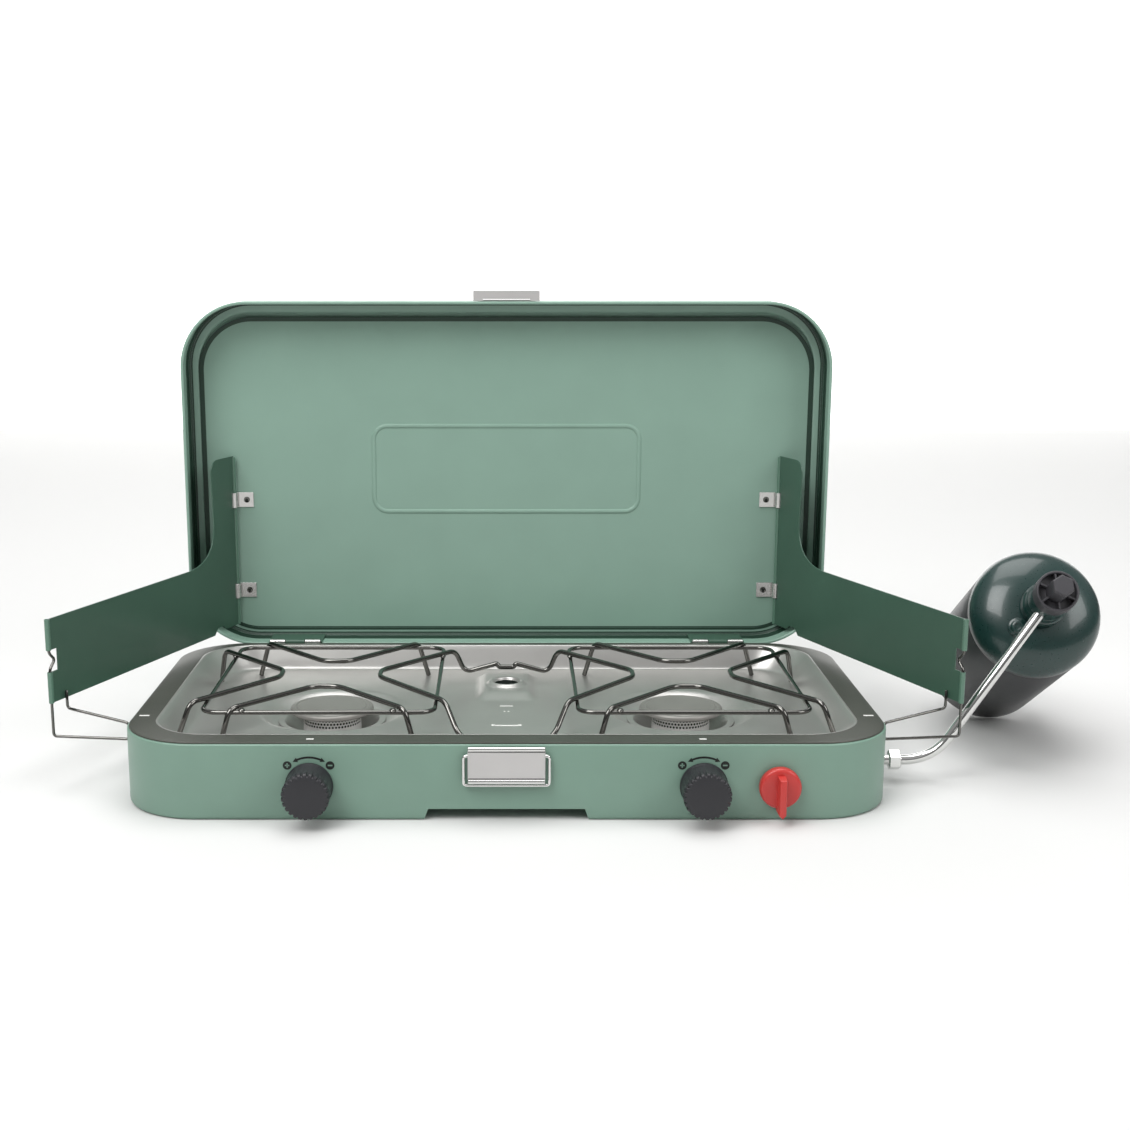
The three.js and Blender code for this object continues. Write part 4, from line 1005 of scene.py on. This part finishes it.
def make_latch():
    ear_low = 46
    bracket = [block(-24, 24, FRONT - 1.3, FRONT - 0.3, 38, 50)]
    for side in SIGNS:
        x = side * 23.5
        bracket.append(block(x - 0.5, x + 0.5, FRONT - 5.2, FRONT - 0.6, ear_low, LATCH_Z - 0.8))
        bracket.append(lying(tube(1.2, 1.9, -0.5, 0.5), x, LATCH_Y, LATCH_Z))
    piece("latch_plate", bracket, [ZINC], "case", ["latch_bracket"], bevel=0.15)

    face = block(-LEVER_HALF, LEVER_HALF, FRONT - 6.2, FRONT - 5.4, 31.5, 54)
    # The rolls take the bright chrome: painted highlight on the plate's rolled edges.
    top_roll = lying(rounded_rod(1.6, -LEVER_HALF, LEVER_HALF), 0, FRONT - 5, 54)
    low_roll = lying(rounded_rod(1.7, -LEVER_HALF, LEVER_HALF), 0, FRONT - 6.9, 30.9)
    ends = (-26.7, 26.7)
    flanges = [block(x - 0.5, x + 0.5, FRONT - 5.6, FRONT - 1.4, ear_low, 53.4) for x in ends]
    # Thin dark strips on the face along both rolls: painted shadow lines.
    painted_shadow_lines = [block(-27, 27, FRONT - 6.3, FRONT - 6, z, z + 0.5) for z in (32.6, 52)]
    lever = [face, *flanges, (top_roll, 1), (low_roll, 1), *((shade_line, 2) for shade_line in painted_shadow_lines)]
    finishes = [PLATE, CHROME_PAINTED_HIGHLIGHT, PAINTED_SHADE_DARK]
    piece("lever_plate", lever, finishes, "latch_lever", ["latch_lever"], bevel=0.15)

    pin = lying(rounded_rod(PIN_RADIUS, -LEVER_HALF, LEVER_HALF), 0, LATCH_Y, LATCH_Z)
    piece("latch_axle", [pin], [CHROME_PAINTED_DARK_REFLECTION], "case", ["latch_pin"])
    half, low = 30.2, 27.2
    route = [(-25, LATCH_Y, BAIL_PIN.z), (-half, LATCH_Y, BAIL_PIN.z), (-half, LATCH_Y, low)]
    route += [(-x, y, z) for x, y, z in reversed(route)]
    wire = sweep(bent(route, 2.4, 6), 1.2, 14)
    piece("bail_wire", [wire], [CHROME_PAINTED_HIGHLIGHT], "latch_bail", ["latch_bail"], sharp=50)


make_latch()

# ---- Knobs ----


def ribbed(profile, ribs, depth):
    """A turned solid of (radius, height, rib share) levels with grooves running along it."""
    count = ribs * 8
    rings = []
    for radius, height, share in profile:
        ring = []
        for i in range(count):
            angle = 2 * math.pi * i / count
            groove = max(0.0, math.cos(ribs * angle)) ** 0.7
            ring.append((*polar(radius - depth * share * groove, angle), height))
        rings.append(ring)
    return loft(rings)


def make_knobs():
    low, high = 1.2, FRONT - box_mm("burner_knob_right")[0].y
    skirt = [(16.2, low, 0), (17.0, low + 0.6, 0), (17.0, low + 2.4, 0), (16.5, low + 3.2, 0)]
    grip = [(16.3, low + 4, 0), (16.2, high - 10, 0), (16.4, high - 8.6, 0.3), (16.8, high - 7, 1)]
    grip += [(16.9, high - 3, 1), (16.5, high - 1.7, 1), (15.6, high - 1.1, 0.8)]
    grip.append((14.4, high - 0.9, 0.1))
    face = [(12, high - 0.6, 0), (8, high - 0.3, 0), (4, high - 0.1, 0), (0.4, high, 0)]
    for side, label in SIDES:
        knob = forward(ribbed([*skirt, *grip, *face], ribs=26, depth=1.3), side * KNOB.x, KNOB.z)
        name = f"burner_knob_{label}"
        piece(f"knob_{label}", [knob], [KNOB_BLACK], name, [name], sharp=40)


def make_igniter():
    disc = [(0, 1.2), (14.2, 1.2), (14.8, 1.8), (14.8, 6.3), (14.1, 7.6), (12.6, 8.3), (0, 8.6)]
    disc = lathe(eased(disc, 0.5, 3), 72)
    low, high, half = 4, FRONT - box_mm("igniter_knob")[0].y, 2.9
    levels = []
    for z, shrink in ((low, 0), (high - 0.9, 0.35), (high - 0.25, 0.7), (high, 1.3)):
        h = half - shrink
        top, tip = 10 - shrink, -19 + shrink
        levels.append([(-h, top, z), (-h, -16, z), (0, tip, z), (h, -16, z), (h, top, z)])
    parts = [forward(p, IGNITER.x, IGNITER.z) for p in (disc, loft(levels))]
    name = "igniter_knob"
    piece("igniter_grip", parts, [RED], name, [name], sharp=35, bevel=0.2)


make_knobs()
make_igniter()

# ---- Fuel inlet, tube and bottle ----

BOTTLE_RADIUS, NECK_RADIUS, DOME_RISE = 49.5, 12, 22
DOME_REACH = BOTTLE_RADIUS - NECK_RADIUS


def on_bottle(part):
    return facing(part, BOTTLE_SHOULDER, BOTTLE_AXIS)


def make_inlet():
    inner = tube(4.2, 5.2, -6, 0.4, 40)
    nut = hexagon(((0.3, 7), (0.8, 7.8), (3.4, 7.8), (4, 7), (4.1, 5.4)))
    parts = [facing(p, INLET_FACE, TO_RIGHT) for p in (inner, nut)]
    piece("inlet_nut", parts, [ZINC], "case", ["fuel_inlet"], sharp=30, bevel=0.3)


def make_tube():
    end = BOTTLE_SHOULDER + BOTTLE_AXIS * 52
    route = bent([(RIGHT - 5, INLET.y, INLET.z), (RIGHT + 45.8, INLET.y, INLET.z), tuple(end)], 24, 16)
    coupling = hexagon(((12, 5), (12.4, 7.8), (20, 7.8), (20.6, 7), (20.7, 5)))
    parts = [sweep(route, 3.8, 28), facing(coupling, INLET_FACE, TO_RIGHT)]
    piece("fuel_pipe", parts, [CHROME_PAINTED_HIGHLIGHT], "fuel_line", ["fuel_tube"], sharp=40)


def make_bottle():
    low = -172
    wide, rise = BOTTLE_RADIUS, DOME_RISE
    angles = (math.pi / 2 * i / 24 for i in range(25))
    dome = [(NECK_RADIUS + DOME_REACH * math.cos(a), rise * math.sin(a)) for a in angles]
    side = [(0, low + 1.5), (40, low + 1.5), (43, low + 0.2), (46, low + 0.1), (48.6, low + 1.2)]
    side += [(49.4, low + 3), (49.4, -6), (49.0, -5.4), (49.0, -4.6), (wide, -4), (wide, -0.2)]
    body = lathe([*side, (wide, 0)], 128)
    top = lathe([(wide, 0), *dome[1:], (NECK_RADIUS, 30), (10.8, 30), (10.8, rise), (0, rise)], 128)
    parts = [on_bottle(body), (on_bottle(top), 1)]
    name = "fuel_bottle"
    piece("bottle_shell", parts, [BOTTLE, DOME], name, [name], sharp=50)


def make_regulator():
    body = [(12.6, 33), (12.6, 24.6), (16.4, 24.6), (16.4, 33.2), (15.4, 35.2), (15.2, 41), (14.6, 41.8)]
    body += [(15.2, 42.6), (15.2, 58), (0, 58)]
    shell = lathe([(0, 33), *eased(body, 0.5, 3)], 72)
    piece("regulator", [on_bottle(shell)], [DOME], "fuel_line", ["regulator_body"])

    low = 58.3
    rim = [(0, low), (15.5, low), (15.5, low + 11.4), (15.0, low + 12), (13.9, low + 12)]
    rim += [(13.4, low + 11.4), (13.4, low + 6), (7.4, low + 6), (7, low + 12), (0, low + 12)]
    cap = lathe(eased(rim, 0.4, 3), 72)
    post = turned(hexagon(((low + 6, 8.4), (low + 27, 8.4), (low + 28, 7.4))), 30, "Z")
    web = block(7, 13.6, -0.7, 0.7, low + 5.5, low + 11.2)
    webs = [turned(web, 60 * k + 30, "Z") for k in range(6)]
    parts = [on_bottle(p) for p in (cap, post, *webs)]
    piece("regulator_knob", parts, [BLACK], "fuel_line", ["regulator_cap"], bevel=0.3)


def make_relief():
    out, angle = 24, math.radians(216)
    rise = math.acos((out - NECK_RADIUS) / DOME_REACH)
    tilt = math.atan2(math.cos(rise) * DOME_RISE, math.sin(rise) * DOME_REACH)
    profile = [(0, 0), (7, 0), (7, 1.6), (6.2, 1.9), (6.8, 2.3), (6.8, 3.0), (5, 3.4), (5, 5.6)]
    profile += [(4.2, 6.6), (2.4, 7), (2.2, 6.2), (0, 6.2)]
    valve = lathe(eased(profile, 0.3, 3), 48)
    place = (
        Matrix.Rotation(angle, 4, "Z")
        @ Matrix.Translation((out, 0, DOME_RISE * math.sin(rise) + 0.3))
        @ Matrix.Rotation(tilt, 4, "Y")
    )
    piece("relief", [on_bottle(moved(valve, place))], [DOME], "fuel_bottle", ["relief_valve"])


make_inlet()
make_tube()
make_bottle()
make_regulator()
make_relief()

# ---- Finishes of the pieces kept from the frame ----

KEPT = (
    (ZINC, ("mixing_tube_left", "mixing_tube_right")),
    (BRASS, ("burner_valve_left", "burner_valve_right", "gas_manifold", "bottle_valve")),
    (BRASS, ("knob_stem_left", "knob_stem_right", "igniter_stem")),
    (BLACK, ("igniter_module", "ignition_lead_left", "ignition_lead_right")),
)
for material, kept_nodes in KEPT:
    for node in kept_nodes:
        for place in frame["nodes"][node].material_slots:
            place.material = material

# ---- Floor, light and camera ----


def make_floor():
    """A pale floor, with a plain bright wall far behind it."""
    reach, near, far = 7000, -6000, 2400
    half, height = 2600, 1700
    plain = {"spread": 0.004, "patch": 2, "grain": 300, "bump": 0.01}
    floor = surface("pale_floor", "d6d6d5", 0.8, **plain)
    wall = surface("bright_wall", "fbfbfa", 0.9, **plain)
    shader = wall.node_tree.nodes["Principled BSDF"]
    shader.inputs["Emission Color"].default_value = (1, 1, 1, 1)
    shader.inputs["Emission Strength"].default_value = 1
    corners = {
        "floor": ([(-reach, near, 0), (reach, near, 0), (reach, far, 0), (-reach, far, 0)], floor),
        "wall": ([(-half, far, 0), (half, far, 0), (half, far, height), (-half, far, height)], wall),
    }
    for name, (points, material) in corners.items():
        mesh = bpy.data.meshes.new(name)
        mesh.from_pydata([tuple(c * MM for c in p) for p in points], [], [(0, 1, 2, 3)])
        mesh.materials.append(material)
        obj = placed(name, mesh)


def add_light(name, place, aim, size, power):
    """A square lamp, its size in metres and its power in watts, aimed at a point."""
    data = bpy.data.lights.new(name, "AREA")
    data.shape = "RECTANGLE"
    data.size = size
    data.size_y = size
    data.energy = power
    obj = placed(name, data)
    obj.location = place
    obj.rotation_euler = (Vector(aim) - Vector(place)).to_track_quat("-Z", "Y").to_euler()


def light_scene():
    """A grey room that turns white overhead, and three large lamps."""
    world = bpy.data.worlds.new("soft_room")
    world.use_nodes = True
    nodes, links = world.node_tree.nodes, world.node_tree.links
    way = nodes.new("ShaderNodeTexCoord")
    height = nodes.new("ShaderNodeSeparateXYZ")
    links.new(way.outputs["Generated"], height.inputs["Vector"])
    bands = ramp(nodes, (0.12, 0.3, 0.3, 0.3), (0.5, 1, 1, 1))
    links.new(height.outputs["Z"], bands.inputs["Fac"])
    links.new(bands.outputs["Color"], nodes["Background"].inputs["Color"])
    nodes["Background"].inputs["Strength"].default_value = 0.42
    bpy.context.scene.world = world
    add_light("key", (-1.2, -1.4, 2.2), (0, 0, 0.1), 1.6, 52)
    add_light("fill", (1.8, -1.2, 1.4), (0.1, 0, 0.1), 1.2, 18)
    add_light("top", (0.1, 0.3, 2.4), (0, 0.1, 0.1), 1.8, 34)


def place_camera():
    """A camera in front of the case, looking down by its pitch in degrees."""
    pitch = 12.35
    data = bpy.data.cameras.new("camera")
    data.sensor_width = 36
    data.lens = 51.36
    data.shift_x = 0.0518
    data.shift_y = 0.0340
    data.clip_start = 0.05
    obj = placed("camera", data)
    obj.location = (0, -1.2325, 0.3946)
    obj.rotation_euler = (math.radians(90 - pitch), 0, 0)
    bpy.context.scene.camera = obj


make_floor()
light_scene()
place_camera()
bpy.context.scene.view_settings.view_transform = "Standard"
